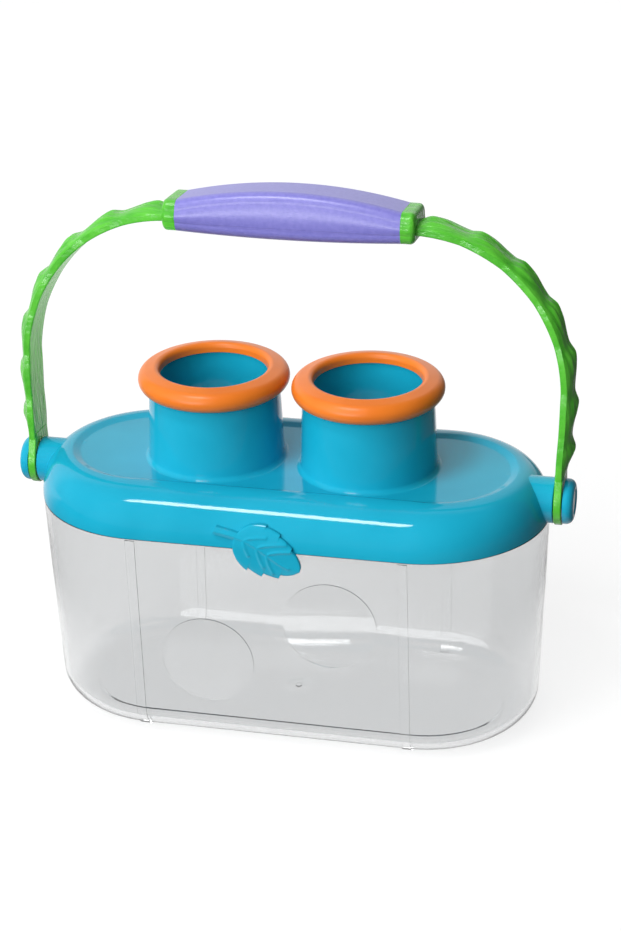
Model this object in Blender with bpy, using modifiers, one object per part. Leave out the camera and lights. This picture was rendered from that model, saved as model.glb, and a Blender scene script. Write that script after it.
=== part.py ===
"""Bug viewer: a clear tub, a lift-off lid with two eyepieces, and a leafy carry handle.

The origin is the centre of the tub's underside. +X runs along the box, -Y is the front
with the leaf, and +Z is up. All sizes are in metres.
"""

from math import acos, asin, atan2, copysign, cos, hypot, pi, radians, sin, sqrt

import bmesh
import bpy
from mathutils import Matrix, Vector
from mathutils.geometry import interpolate_bezier

# Plan of the box: two half circles joined by straight sides
LID_LENGTH = 0.190
LID_WIDTH = 0.0904

# Clearance between pieces that seat on each other
FIT_GAP = 0.0003

# Clear tub
TUB_HEIGHT = 0.0822
TUB_SETBACK = 0.0001
TUB_TAPER = 0.0034
TUB_WALL = 0.0018
TUB_FLOOR = 0.0020
TUB_BOTTOM_RADIUS = 0.0110
FLOOR_PANEL_RISE = 0.0005
FLOOR_PANEL_INSET = 0.0015
NECK_HEIGHT = 0.0042
NECK_WALL = 0.0016
GATE_RADIUS = 0.0060
GATE_NUB_RADIUS = 0.0012
GATE_DEPTH = 0.0008
BAND_WIDTH = 0.0035
BAND_HEIGHT = 0.0004
BAND_FOOT_ANGLE = radians(62.0)

# Round magnifiers moulded on the tub's front wall
BULGE_RADIUS = 0.0172
BULGE_RISE = 0.0024
BULGE_STEP = 0.0003
BULGE_OFFSET = 0.0230
BULGE_LEFT_HEIGHT = 0.0348
BULGE_RIGHT_HEIGHT = 0.0538

# Lid
LID_HEIGHT = 0.0164
LID_EDGE_RADIUS = 0.0160
LID_END_REACH = 0.0042
LID_WALL = 0.0022
PANEL_RECESS = 0.0011
PANEL_SLOPE = 0.0024
BOSS_RADIUS = 0.0084
BOSS_REACH = 0.0020
PIVOT_RISE = 0.0070

# Eyepieces
TUBE_RADIUS = 0.0238
TUBE_WALL = 0.0028
TUBE_HEIGHT = 0.0315
TUBE_FLARE = 0.0012
TUBE_FILLET = 0.0022
FILLET_SINK = 0.0001
LENS_SEAT_WALL = 0.0023
LENS_EDGE = 0.0020
LENS_CROWN = 0.0016
LENS_LEDGE_WIDTH = 0.0022
LENS_LEDGE = 0.0016
LENS_RING_HEIGHT = 0.0060
CUP_BEAD_RADIUS = 0.0039
CUP_LIP_RADIUS = 0.0019
CUP_LIP_RISE = 0.0026
CUP_LIP_INSET = 0.0022
CUP_OVERHANG = 0.0039
CUP_DROP = 0.0007
CUP_SPACE = 0.0020

# Leaf tab on the front of the lid
TAB_LENGTH = 0.0260
TAB_HALF_WIDTH = 0.0092
TAB_BELLY = 0.6
TAB_FULLNESS = 0.6
TAB_TEETH = 4
TAB_TOOTH_DEPTH = 0.0011
TAB_TOOTH_START = 1.1
TAB_TOOTH_LEAD = 0.85
TAB_STEM_LENGTH = 0.0075
TAB_STEM_WIDTH = 0.0023
TAB_PROUD = 0.0014
TAB_VEIN_RISE = 0.0006
TAB_VEIN_START = 0.08
TAB_VEIN_PITCH = 0.10
TAB_VEIN_REACH = 0.66
TAB_VEIN_SHORTENING = 0.05
TAB_VEIN_SLANT = 1.1
TAB_VEIN_SHARE = 0.75
TAB_VEIN_TAPER = 0.6
TAB_MIDRIB_SHARE = 0.9
TAB_BASE_X = -0.0110
TAB_BASE_RISE = 0.0030
TAB_TURN = radians(-23.0)

# Carry handle: it leans back a little from upright, and its sizes are taken along the lean
HANDLE_LEAN = radians(6.0)
HANDLE_SPREAD = 0.0010
ARCH_FOOT = 0.0410
ARCH_TOP = 0.0962
ARM_WIDTH = 0.0150
ARM_THICKNESS = 0.0029
ARM_EDGE = 0.0006
EYELET_RADIUS = 0.0088
EYELET_THICKNESS = 0.0028
VINE_LEAVES = 7
VINE_BASE = 0.0005
VINE_RISE = 0.0020
VINE_RIB = 0.0004
VINE_TIP_SHARE = 0.24
VINE_SWEEP = 0.16
VINE_CROWN = 0.45
VINE_SPREAD = 0.0005
VINE_CLEARANCE = 0.0008
BLOCK_THICKNESS = 0.0050
BLOCK_ROUNDING = 0.0018

# Grip on the handle
GRIP_LENGTH = 0.0816
GRIP_WIDTH = 0.0225
GRIP_END_HEIGHT = 0.0114
GRIP_MID_HEIGHT = 0.0162
GRIP_DROP = 0.0030
GRIP_ROUNDING = 0.0030
GRIP_BELLY = 0.0006
GRIP_SAG = 0.0012
GRIP_SPLIT_RISE = 0.0036
CORE_WIDTH = 0.0070
CORE_HEIGHT = 0.0046
CORE_SINK = 0.0008
SCREW_OFFSET = 0.0260
SCREW_RADIUS = 0.0012
SCREW_HEAD_RADIUS = 0.0024
SCREW_HEAD_HEIGHT = 0.0014
SCREW_BITE = 0.0042
SCREW_RECESS_LENGTH = 0.0034
SCREW_RECESS_WIDTH = 0.0007
SCREW_RECESS_DEPTH = 0.0007

# Pivot pins
PIN_RADIUS = 0.0030
PIN_REACH = 0.0020
PIN_CHAMFER = 0.0006
PIN_HEAD_RADIUS = 0.0083
PIN_HEAD_HEIGHT = 0.0037
PIN_HEAD_ROUNDING = 0.0027
PIN_DISH_RADIUS = 0.0046
PIN_DISH_DEPTH = 0.0003

# Facets
END_STEPS = 14
TURN_STEPS = 36
PIN_STEPS = 24
CORNER_STEPS = 6
CUP_STEPS = 6
LEAF_STEPS = 5
LEAF_COLUMNS = (-0.8, -0.4, 0.0, 0.4, 0.8)
DOME_STEPS = 4
FILLET_STEPS = 5
NECK_STEPS = 3
GRIP_STEPS = 10
ROUNDING_STEPS = 3
HEAD_STEPS = 4
TAB_BASE_STEPS = 4
PATH_STEPS = 60
SHARP_ANGLE = radians(32.0)

# Places worked out from the sizes above
LID_RADIUS = LID_WIDTH / 2
STRAIGHT_HALF = (LID_LENGTH - LID_WIDTH) / 2
TUB_TOP_RADIUS = LID_RADIUS - TUB_SETBACK
LID_BOTTOM = TUB_HEIGHT + FIT_GAP
EDGE_START = LID_HEIGHT - LID_EDGE_RADIUS
CREST_RADIUS = LID_RADIUS - LID_EDGE_RADIUS
PANEL_TOP = LID_HEIGHT - PANEL_RECESS
CEILING = PANEL_TOP - LID_WALL
SKIRT_INNER = LID_RADIUS - LID_WALL
CAVITY_EDGE_RADIUS = LID_EDGE_RADIUS - LID_WALL
TUBE_TOP = PANEL_TOP + TUBE_HEIGHT
TUBE_BORE = TUBE_RADIUS - TUBE_WALL
RING_SEAT_RADIUS = TUBE_RADIUS - LENS_SEAT_WALL
LENS_RADIUS = RING_SEAT_RADIUS - FIT_GAP
LENS_HOLE_RADIUS = LENS_RADIUS - LENS_LEDGE_WIDTH
CUP_RADIUS = TUBE_RADIUS + CUP_OVERHANG - CUP_BEAD_RADIUS
EYE_SPACING = 2 * (TUBE_RADIUS + CUP_OVERHANG) + CUP_SPACE
LENS_BOTTOM = CEILING + LENS_RING_HEIGHT + FIT_GAP
LENS_SEAT = LENS_BOTTOM + LENS_EDGE + FIT_GAP
BOSS_FACE = LID_LENGTH / 2 + BOSS_REACH
EYELET_INNER = BOSS_FACE + FIT_GAP
EYELET_OUTER = EYELET_INNER + EYELET_THICKNESS
HEAD_INNER = EYELET_OUTER + FIT_GAP
PIN_BORE = PIN_RADIUS + FIT_GAP
VINE_END = PIN_HEAD_RADIUS + VINE_CLEARANCE
ARCH_HALF_WIDTH = EYELET_INNER + HANDLE_SPREAD
GRIP_BOTTOM = ARCH_TOP - GRIP_DROP
GRIP_SPLIT = GRIP_BOTTOM + GRIP_SPLIT_RISE
BLOCK_INNER = GRIP_LENGTH / 2 + FIT_GAP
BLOCK_OUTER = BLOCK_INNER + BLOCK_THICKNESS
CORE_BOTTOM = GRIP_SPLIT - CORE_SINK
TUB_CLEAR_RADIUS = TUB_TOP_RADIUS + FIT_GAP

# A cutter runs past the faces it cuts by this much, and an added shape is sunk by it
OVERRUN = 0.0010
WELD = 0.000002
SQUARE_TURN = pi / 2
QUARTER_BOW = 4 / 3 * (sqrt(2) - 1)


def clear_scene():
    for item in list(bpy.data.objects):
        bpy.data.objects.remove(item, do_unlink=True)


def make_collection(name):
    group = bpy.data.collections.new(name)
    bpy.context.scene.collection.children.link(group)
    return group


def plastic(name, colour, roughness, transmission=0.0):
    material = bpy.data.materials.new(name)
    material.use_nodes = True
    shader = material.node_tree.nodes["Principled BSDF"]
    shader.inputs["Base Color"].default_value = (*colour, 1.0)
    shader.inputs["Roughness"].default_value = roughness
    shader.inputs["Metallic"].default_value = 0.0
    shader.inputs["Transmission Weight"].default_value = transmission
    return material


def metal(name, colour, roughness):
    material = plastic(name, colour, roughness)
    material.node_tree.nodes["Principled BSDF"].inputs["Metallic"].default_value = 1.0
    return material


def place(item, material, parent, location=(0, 0, 0), rotation=(0, 0, 0)):
    """Put a finished sub-part in the part's collection, under its moving group."""
    PARTS.objects.link(item)
    item.data.materials.append(material)
    item.parent = parent
    item.location = location
    item.rotation_euler = rotation
    item.data.shade_smooth()
    item.data.set_sharp_from_angle(angle=SHARP_ANGLE)
    return item


def tool(item, parent, location=(0, 0, 0), rotation=(0, 0, 0)):
    """Put a shape that only adds to or cuts another in the cutters' collection."""
    CUTTERS.objects.link(item)
    item.parent = parent
    item.location = location
    item.rotation_euler = rotation
    item.hide_render = True
    item.display_type = "WIRE"
    return item


def combine(target, other, operation):
    step = target.modifiers.new(operation.lower() + "_" + other.name, "BOOLEAN")
    step.operation = operation
    step.object = other
    step.solver = "EXACT"


def mesh_object(name, bm):
    mesh = bpy.data.meshes.new(name)
    bm.to_mesh(mesh)
    bm.free()
    return bpy.data.objects.new(name, mesh)


def arc(centre, radius, start, end, steps=CORNER_STEPS):
    """Points of an arc from one angle to another, as (across, up) pairs, both ends included."""
    points = []
    for i in range(steps + 1):
        angle = start + (end - start) * i / steps
        points.append((centre[0] + radius * cos(angle), centre[1] + radius * sin(angle)))
    return points


def stretch_ends(bm):
    """Draw the lid's crest out towards its two ends, and leave its outer edge in place."""
    for vert in bm.verts:
        past = abs(vert.co.x) - STRAIGHT_HALF
        out = hypot(past, vert.co.y)
        if past <= 0 or out >= LID_RADIUS:
            continue
        share = min(out / CREST_RADIUS, (LID_RADIUS - out) / LID_EDGE_RADIUS)
        grown = 1 + LID_END_REACH * share * past / out ** 2
        vert.co.x = copysign(STRAIGHT_HALF + past * grown, vert.co.x)
        vert.co.y *= grown


def stadium_sweep(name, profile, stretched=False):
    """Carry a profile of (distance from the spine, height) once round the plan of the box."""
    bm = bmesh.new()
    points = [bm.verts.new((STRAIGHT_HALF, -out, up)) for out, up in profile]
    strip = [bm.edges.new(pair) for pair in zip(points, points[1:])]
    for side in (1, -1):
        turned_end = bmesh.ops.spin(
            bm, geom=points + strip, cent=(side * STRAIGHT_HALF, 0, 0),
            axis=(0, 0, 1), angle=pi, steps=END_STEPS)
        last = [item for item in turned_end["geom_last"] if isinstance(item, bmesh.types.BMEdge)]
        drawn = bmesh.ops.extrude_edge_only(bm, edges=last)["geom"]
        points = [item for item in drawn if isinstance(item, bmesh.types.BMVert)]
        moved = set(points)
        strip = [item for item in drawn
                 if isinstance(item, bmesh.types.BMEdge) and moved.issuperset(item.verts)]
        bmesh.ops.translate(bm, verts=points, vec=(-side * 2 * STRAIGHT_HALF, 0, 0))
    if stretched:
        stretch_ends(bm)
    bmesh.ops.remove_doubles(bm, verts=bm.verts, dist=WELD)
    bmesh.ops.recalc_face_normals(bm, faces=bm.faces)
    return mesh_object(name, bm)


def turned(name, profile, steps, closed=False):
    """A profile of (radius, height), running down its outer side, turned about Z."""
    bm = bmesh.new()
    points = [bm.verts.new((out, 0, up)) for out, up in profile]
    for pair in zip(points, points[1:]):
        bm.edges.new(pair)
    if closed:
        bm.edges.new((points[-1], points[0]))
    item = mesh_object(name, bm)
    screw = item.modifiers.new("turn", "SCREW")
    screw.angle = 2 * pi
    screw.steps = steps
    screw.render_steps = steps
    screw.use_merge_vertices = True
    screw.merge_threshold = WELD
    return item


def loft(name, rings):
    """Skin a row of closed sections that share their number of points, and cap both ends."""
    bm = bmesh.new()
    loops = [[bm.verts.new(point) for point in ring] for ring in rings]
    for near, far in zip(loops, loops[1:]):
        for i in range(len(near)):
            j = (i + 1) % len(near)
            bm.faces.new((near[i], near[j], far[j], far[i]))
    bm.faces.new(loops[0])
    bm.faces.new(loops[-1])
    bmesh.ops.recalc_face_normals(bm, faces=bm.faces)
    return mesh_object(name, bm)


def box(name, low, high):
    bm = bmesh.new()
    bmesh.ops.create_cube(bm, size=1.0)
    size = [b - a for a, b in zip(low, high)]
    bmesh.ops.scale(bm, verts=bm.verts, vec=size)
    bmesh.ops.translate(bm, verts=bm.verts, vec=[(a + b) / 2 for a, b in zip(low, high)])
    return mesh_object(name, bm)


def rod(name, radius, length, steps):
    """A cylinder that stands on the origin."""
    bm = bmesh.new()
    bmesh.ops.create_cone(bm, cap_ends=True, segments=steps, radius1=radius, radius2=radius, depth=length)
    bmesh.ops.translate(bm, verts=bm.verts, vec=(0, 0, length / 2))
    return mesh_object(name, bm)


def curve_to_mesh(curve_object):
    """Make a curve a mesh, with its loose caps welded on, and remove the curve."""
    bpy.context.scene.collection.objects.link(curve_object)
    bpy.context.view_layer.update()
    evaluated = curve_object.evaluated_get(bpy.context.evaluated_depsgraph_get())
    mesh = bpy.data.meshes.new_from_object(evaluated)
    bm = bmesh.new()
    bm.from_mesh(mesh)
    bmesh.ops.remove_doubles(bm, verts=bm.verts, dist=WELD)
    bmesh.ops.recalc_face_normals(bm, faces=bm.faces)
    bm.to_mesh(mesh)
    bm.free()
    name = curve_object.name
    bpy.data.objects.remove(curve_object, do_unlink=True)
    item = bpy.data.objects.new(name, mesh)
    item.name = name
    return item


def plate(name, outline, thickness):
    """A flat outline in XY, thickened evenly about Z = 0."""
    curve = bpy.data.curves.new(name, "CURVE")
    curve.dimensions = "2D"
    curve.fill_mode = "BOTH"
    curve.extrude = thickness / 2
    spline = curve.splines.new("POLY")
    spline.points.add(len(outline) - 1)
    for point, (across, up) in zip(spline.points, outline):
        point.co = (across, up, 0, 1)
    spline.use_cyclic_u = True
    return curve_to_mesh(bpy.data.objects.new(name, curve))


def ridge(name, start, end, height, end_share):
    """A round ridge along a line, thinner at its far end."""
    curve = bpy.data.curves.new(name, "CURVE")
    curve.dimensions = "3D"
    curve.bevel_depth = height
    curve.bevel_resolution = 1
    curve.use_fill_caps = True
    spline = curve.splines.new("POLY")
    spline.points.add(1)
    for point, place_at, share in zip(spline.points, (start, end), (1.0, end_share)):
        point.co = (*place_at, 1)
        point.radius = share
    return curve_to_mesh(bpy.data.objects.new(name, curve))


def dome_line(radius, rise):
    """Points of a spherical dome from its top down to its rim, at height 0."""
    sphere = (radius ** 2 + rise ** 2) / (2 * rise)
    points = []
    for i in range(DOME_STEPS + 1):
        out = radius * i / DOME_STEPS
        points.append((out, sqrt(sphere ** 2 - out ** 2) - sphere + rise))
    return points


def tub_radius(height):
    """Distance of the tub's outer wall from the spine at a height: it leans in towards the table."""
    return TUB_TOP_RADIUS - TUB_TAPER * (1 - height / TUB_HEIGHT)


def cavity_radius(rise, outset=0.0):
    """Distance of the lid's inner wall from the spine, at a rise above the skirt's edge."""
    above = max(rise - EDGE_START, 0.0)
    return CREST_RADIUS + sqrt((CAVITY_EDGE_RADIUS + outset) ** 2 - above ** 2)


def tub_profile():
    corner = (tub_radius(TUB_BOTTOM_RADIUS) - TUB_BOTTOM_RADIUS, TUB_BOTTOM_RADIUS)
    inner_radius = TUB_BOTTOM_RADIUS - TUB_WALL
    inner_corner = (corner[0], TUB_FLOOR + inner_radius)
    panel = corner[0] - FLOOR_PANEL_INSET
    panel_top = TUB_FLOOR + FLOOR_PANEL_RISE
    shoulder_inner = TUB_HEIGHT - TUB_WALL
    neck = []
    for i in range(NECK_STEPS + 1):
        rise = NECK_HEIGHT * i / NECK_STEPS
        neck.append((cavity_radius(rise - FIT_GAP) - FIT_GAP, TUB_HEIGHT + rise))
    outside = [(0, 0)] + arc(corner, TUB_BOTTOM_RADIUS, -SQUARE_TURN, 0)
    outside += [(TUB_TOP_RADIUS, TUB_HEIGHT)] + neck
    inside = [(neck[-1][0] - NECK_WALL, neck[-1][1]), (neck[0][0] - NECK_WALL, shoulder_inner)]
    inside += [(tub_radius(shoulder_inner) - TUB_WALL, shoulder_inner - TUB_WALL)]
    inside += arc(inner_corner, inner_radius, 0, -SQUARE_TURN)
    inside += [(panel, TUB_FLOOR), (panel - FLOOR_PANEL_RISE, panel_top), (0, panel_top)]
    return outside + inside


def upright_band(name):
    """Side view of a mould band: it follows the outer wall from the shoulder round the bottom corner."""
    centre = (tub_radius(TUB_BOTTOM_RADIUS) - TUB_BOTTOM_RADIUS, TUB_BOTTOM_RADIUS)
    top = TUB_HEIGHT - TUB_WALL
    sunk = TUB_WALL / 2
    outer = [(tub_radius(top) + BAND_HEIGHT, top)]
    outer += arc(centre, TUB_BOTTOM_RADIUS + BAND_HEIGHT, 0, -BAND_FOOT_ANGLE)
    inner = arc(centre, TUB_BOTTOM_RADIUS - sunk, -BAND_FOOT_ANGLE, 0)
    inner += [(tub_radius(top) - sunk, top)]
    return plate(name, outer + inner, BAND_WIDTH)


def lens_bulge(name):
    """A shallow dome on a short foot that sinks into the wall."""
    sunk = TUB_WALL / 2
    dome = [(out, BULGE_STEP + up) for out, up in dome_line(BULGE_RADIUS, BULGE_RISE)]
    return turned(name, dome + [(BULGE_RADIUS, -sunk), (0, -sunk)], PIN_STEPS)


def build_tub(material):
    tub = place(stadium_sweep("tub", tub_profile()), material, None)
    for end, x in (("left", -STRAIGHT_HALF), ("right", STRAIGHT_HALF)):
        for face, turn in (("front", -SQUARE_TURN), ("back", SQUARE_TURN)):
            band = tool(upright_band(f"mould_band_{face}_{end}"), None, (x, 0, 0), (SQUARE_TURN, 0, turn))
            combine(tub, band, "UNION")
    lean = TUB_TAPER / TUB_HEIGHT
    for end, x, height in (("left", -BULGE_OFFSET, BULGE_LEFT_HEIGHT),
                           ("right", BULGE_OFFSET, BULGE_RIGHT_HEIGHT)):
        bulge = tool(lens_bulge(f"wall_lens_{end}"), None,
                     (x, -tub_radius(height), height), (SQUARE_TURN + lean, 0, 0))
        combine(tub, bulge, "UNION")
    floor_top = TUB_FLOOR + FLOOR_PANEL_RISE
    moat = [(GATE_NUB_RADIUS, floor_top + OVERRUN), (GATE_RADIUS, floor_top + OVERRUN),
            (GATE_RADIUS, floor_top), (GATE_RADIUS - GATE_DEPTH, floor_top - GATE_DEPTH),
            (GATE_NUB_RADIUS, floor_top - GATE_DEPTH)]
    combine(tub, tool(turned("gate_mark", moat, PIN_STEPS, closed=True), None), "DIFFERENCE")


def lid_profile():
    """Section of the lid: sunk panel, crest, rounded edge and skirt, then back along the inside."""
    edge = arc((CREST_RADIUS, EDGE_START), LID_EDGE_RADIUS, SQUARE_TURN, 0, CORNER_STEPS + 2)
    outside = [(0, PANEL_TOP), (CREST_RADIUS - PANEL_SLOPE, PANEL_TOP)] + edge + [(LID_RADIUS, 0)]
    return outside + [(SKIRT_INNER, 0)] + inner_edge(0.0) + [(0, CEILING)]


def inner_edge(outset):
    """Inside of the lid's edge from the skirt up to the ceiling, or a line set out into its wall."""
    top = CEILING + outset - EDGE_START
    points = []
    for i in range(CORNER_STEPS + 1):
        rise = EDGE_START + top * (1 - (1 - i / CORNER_STEPS) ** 2)
        points.append((cavity_radius(rise, outset), rise))
    return points


def wall_middle_profile():
    """Solid that fills the lid up to the middle of its wall: what is fused to the lid ends there."""
    middle = inner_edge(LID_WALL / 2)
    below = -TAB_LENGTH
    return [(0, below), (middle[0][0], below)] + middle + [(0, middle[-1][1])]


def tube_profile():
    """Outside of an eyepiece tube, flared to a fillet where it meets the lid's panel."""
    foot = TUBE_RADIUS + TUBE_FLARE
    size = min(TUBE_FILLET, EYE_SPACING / 2 - foot - FIT_GAP)
    fillet = arc((foot + size, PANEL_TOP - FILLET_SINK + size), size, pi, 3 * SQUARE_TURN, FILLET_STEPS)
    sunk = PANEL_TOP - LID_WALL / 2
    return [(0, TUBE_TOP), (TUBE_RADIUS, TUBE_TOP)] + fillet + [(foot + size, sunk), (0, sunk)]


def bore_profile():
    """Stepped bore of a tube: eye well, lens ledge, then the seat of the lens and its ring."""
    ledge_top = LENS_SEAT + LENS_LEDGE
    seat = RING_SEAT_RADIUS
    return [(0, TUBE_TOP + OVERRUN), (TUBE_BORE, TUBE_TOP + OVERRUN), (TUBE_BORE, ledge_top),
            (LENS_HOLE_RADIUS, ledge_top), (LENS_HOLE_RADIUS, LENS_SEAT), (seat, LENS_SEAT),
            (seat, CEILING - OVERRUN), (0, CEILING - OVERRUN)]


def tab_outline():
    """Toothed leaf along +X from its base, with a stem behind it."""
    def half_width(share):
        return TAB_HALF_WIDTH * sin(pi * share ** TAB_BELLY) ** TAB_FULLNESS

    upper = []
    spaces = TAB_TEETH + TAB_TOOTH_START
    lead = TAB_TOOTH_LEAD / spaces
    for i in range(1, TAB_BASE_STEPS):
        share = TAB_TOOTH_START / spaces * i / TAB_BASE_STEPS
        upper.append((share * TAB_LENGTH, half_width(share)))
    for i in range(TAB_TEETH):
        start = (i + TAB_TOOTH_START) / spaces
        upper.append((start * TAB_LENGTH, half_width(start) - TAB_TOOTH_DEPTH / 2))
        upper.append(((start + lead) * TAB_LENGTH, half_width(start + lead) + TAB_TOOTH_DEPTH / 2))
    lower = [(along, -across) for along, across in reversed(upper)]
    half_stem = TAB_STEM_WIDTH / 2
    stem = [(0, -half_stem), (-TAB_STEM_LENGTH, -half_stem), (-TAB_STEM_LENGTH, half_stem), (0, half_stem)]
    return upper + [(TAB_LENGTH, 0)] + lower + stem


def tub_room_profile():
    """Solid that fills the tub and its clearance: what hangs below the skirt stays outside it."""
    below = -TAB_LENGTH
    above = OVERRUN / 2
    return [(0, below), (TUB_CLEAR_RADIUS, below), (TUB_CLEAR_RADIUS, above), (0, above)]


def leaf_tab(group, wall_middle, tub_room):
    """Leaf tab: sunk in the skirt above its edge, and trimmed to hang clear of the tub below it."""
    front = LID_RADIUS + TAB_PROUD
    depth = LID_EDGE_RADIUS / 2
    lie = (Matrix.Rotation(SQUARE_TURN, 4, "X") @ Matrix.Rotation(TAB_TURN, 4, "Z")).to_euler()
    leaf = tool(plate("leaf_tab", tab_outline(), depth), group,
                (TAB_BASE_X, depth / 2 - front, TAB_BASE_RISE), lie)
    veins = [("leaf_midrib", -TAB_STEM_LENGTH / 2, TAB_MIDRIB_SHARE * TAB_LENGTH, 0, TAB_VEIN_RISE)]
    for i in range(2 * (TAB_TEETH - 1)):
        root = (TAB_VEIN_START + TAB_VEIN_PITCH * i) * TAB_LENGTH
        reach = (TAB_VEIN_REACH - TAB_VEIN_SHORTENING * i) * TAB_HALF_WIDTH
        side = reach if i % 2 else -reach
        end = root + TAB_VEIN_SLANT * reach
        veins.append((f"leaf_vein_{i}", root, end, side, TAB_VEIN_SHARE * TAB_VEIN_RISE))
    for name, root, end, side, height in veins:
        line = ridge(name, (root, 0, 0), (end, side, 0), height, TAB_VEIN_TAPER)
        sunk = TAB_VEIN_RISE / 5 - front
        combine(leaf, tool(line, group, (TAB_BASE_X, sunk, TAB_BASE_RISE), lie), "UNION")
    combine(leaf, tub_room, "DIFFERENCE")
    combine(leaf, wall_middle, "DIFFERENCE")
    return leaf


def build_lid(material, group):
    lid = place(stadium_sweep("lid", lid_profile(), stretched=True), material, group)
    wall_middle = tool(stadium_sweep("lid_wall_middle", wall_middle_profile(), stretched=True), group)
    tub_room = tool(stadium_sweep("tub_room", tub_room_profile()), group)
    boss_start = STRAIGHT_HALF + CREST_RADIUS
    boss_length = BOSS_FACE - boss_start
    for end, side in (("left", -1), ("right", 1)):
        eye = (side * EYE_SPACING / 2, 0, 0)
        pivot = (side * boss_start, 0, PIVOT_RISE)
        out = (0, side * SQUARE_TURN, 0)
        tube = tool(turned(f"tube_{end}", tube_profile(), TURN_STEPS), group, eye)
        combine(lid, tube, "UNION")
        boss = tool(rod(f"boss_{end}", BOSS_RADIUS, boss_length, PIN_STEPS), group, pivot, out)
        combine(boss, tub_room, "DIFFERENCE")
        combine(boss, wall_middle, "DIFFERENCE")
        combine(lid, boss, "UNION")
        half_step = pi / TURN_STEPS
        bore = tool(turned(f"tube_bore_{end}", bore_profile(), TURN_STEPS), group, eye, (0, 0, half_step))
        combine(lid, bore, "DIFFERENCE")
        hole = rod(f"boss_bore_{end}", PIN_BORE, boss_length + OVERRUN, PIN_STEPS)
        combine(lid, tool(hole, group, pivot, out), "DIFFERENCE")
    combine(lid, leaf_tab(group, wall_middle, tub_room), "UNION")


def cup_profile():
    """Eyecup: a round bead and a smaller lip inside its top, with the underside cut away for the tube."""
    seat = TUBE_TOP + FIT_GAP
    slot_outer = TUBE_RADIUS + FIT_GAP
    bead = (CUP_RADIUS, TUBE_TOP - CUP_DROP)
    lip = (bead[0] - CUP_LIP_INSET, bead[1] + CUP_LIP_RISE)
    apart = hypot(CUP_LIP_INSET, CUP_LIP_RISE)
    meet = acos((CUP_LIP_RADIUS - CUP_BEAD_RADIUS) / apart) - atan2(CUP_LIP_RISE, CUP_LIP_INSET)
    end = -acos((slot_outer - CUP_RADIUS) / CUP_BEAD_RADIUS)
    rim = arc(lip, CUP_LIP_RADIUS, pi, meet, ROUNDING_STEPS)
    rim += arc(bead, CUP_BEAD_RADIUS, meet, end, CUP_STEPS)
    return [(lip[0] - CUP_LIP_RADIUS, seat)] + rim + [(slot_outer, seat)]


def lens_profile():
    """Double convex lens with a flat flange, which lies between the ring's top and the ledge."""
    upper = [(out, LENS_EDGE + up) for out, up in dome_line(LENS_HOLE_RADIUS - FIT_GAP, LENS_CROWN)]
    upper.append((LENS_RADIUS, LENS_EDGE))
    lower = [(out, LENS_EDGE - up) for out, up in reversed(upper)]
    return upper + lower


def ring_profile():
    top = LENS_RING_HEIGHT
    return [(LENS_HOLE_RADIUS, top), (LENS_RADIUS, top), (LENS_RADIUS, 0), (LENS_HOLE_RADIUS, 0)]


def build_eyepieces(rubber, glass, ring_material, group):
    for end, side in (("left", -1), ("right", 1)):
        x = side * EYE_SPACING / 2
        place(turned(f"eyecup_{end}", cup_profile(), TURN_STEPS, closed=True), rubber, group, (x, 0, 0))
        place(turned(f"lens_{end}", lens_profile(), TURN_STEPS), glass, group, (x, 0, LENS_BOTTOM))
        place(turned(f"lens_ring_{end}", ring_profile(), TURN_STEPS, closed=True), ring_material, group,
              (x, 0, CEILING))


def pin_profile():
    """Pivot pin: domed head with a shallow dish, and a shank that reaches through the lid's wall."""
    top = HEAD_INNER + PIN_HEAD_HEIGHT
    corner = (PIN_HEAD_RADIUS - PIN_HEAD_ROUNDING, top - PIN_HEAD_ROUNDING)
    tip = STRAIGHT_HALF + cavity_radius(PIVOT_RISE) - PIN_REACH
    head = [(0, top - PIN_DISH_DEPTH), (PIN_DISH_RADIUS, top - PIN_DISH_DEPTH)]
    head += arc(corner, PIN_HEAD_ROUNDING, SQUARE_TURN, 0, HEAD_STEPS)
    head += [(PIN_HEAD_RADIUS, HEAD_INNER), (PIN_RADIUS, HEAD_INNER)]
    return head + [(PIN_RADIUS, tip + PIN_CHAMFER), (PIN_RADIUS - PIN_CHAMFER, tip), (0, tip)]


def build_pins(material, group):
    for end, side in (("left", -1), ("right", 1)):
        place(turned(f"pivot_pin_{end}", pin_profile(), PIN_STEPS), material, group,
              (0, 0, PIVOT_RISE), (0, side * SQUARE_TURN, 0))


def arm_path():
    """Inner line of the right arm in (x, z), from the grip's end down to the eyelet's neck."""
    top = Vector((BLOCK_OUTER - OVERRUN, 0, ARCH_TOP))
    spring = Vector((ARCH_HALF_WIDTH, 0, ARCH_FOOT))
    foot = Vector((EYELET_INNER + FIT_GAP / 2, 0, VINE_END))
    reach = ARCH_HALF_WIDTH - top.x
    rise = ARCH_TOP - ARCH_FOOT
    drop = ARCH_FOOT - VINE_END
    line = interpolate_bezier(top, top + Vector((QUARTER_BOW * reach, 0, 0)),
                              spring + Vector((0, 0, QUARTER_BOW * rise)), spring, PATH_STEPS)
    line += interpolate_bezier(spring, spring - Vector((0, 0, drop / 2)),
                               foot + Vector((0, 0, drop / 3)), foot, PATH_STEPS)[1:]
    return line


def path_point(line, along):
    """Point and direction on a line of points, at a length along it."""
    walked = 0.0
    for a, b in zip(line, line[1:]):
        step = (b - a).length
        if walked + step >= along or b == line[-1]:
            return a.lerp(b, (along - walked) / step), (b - a).normalized()
        walked += step


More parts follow.
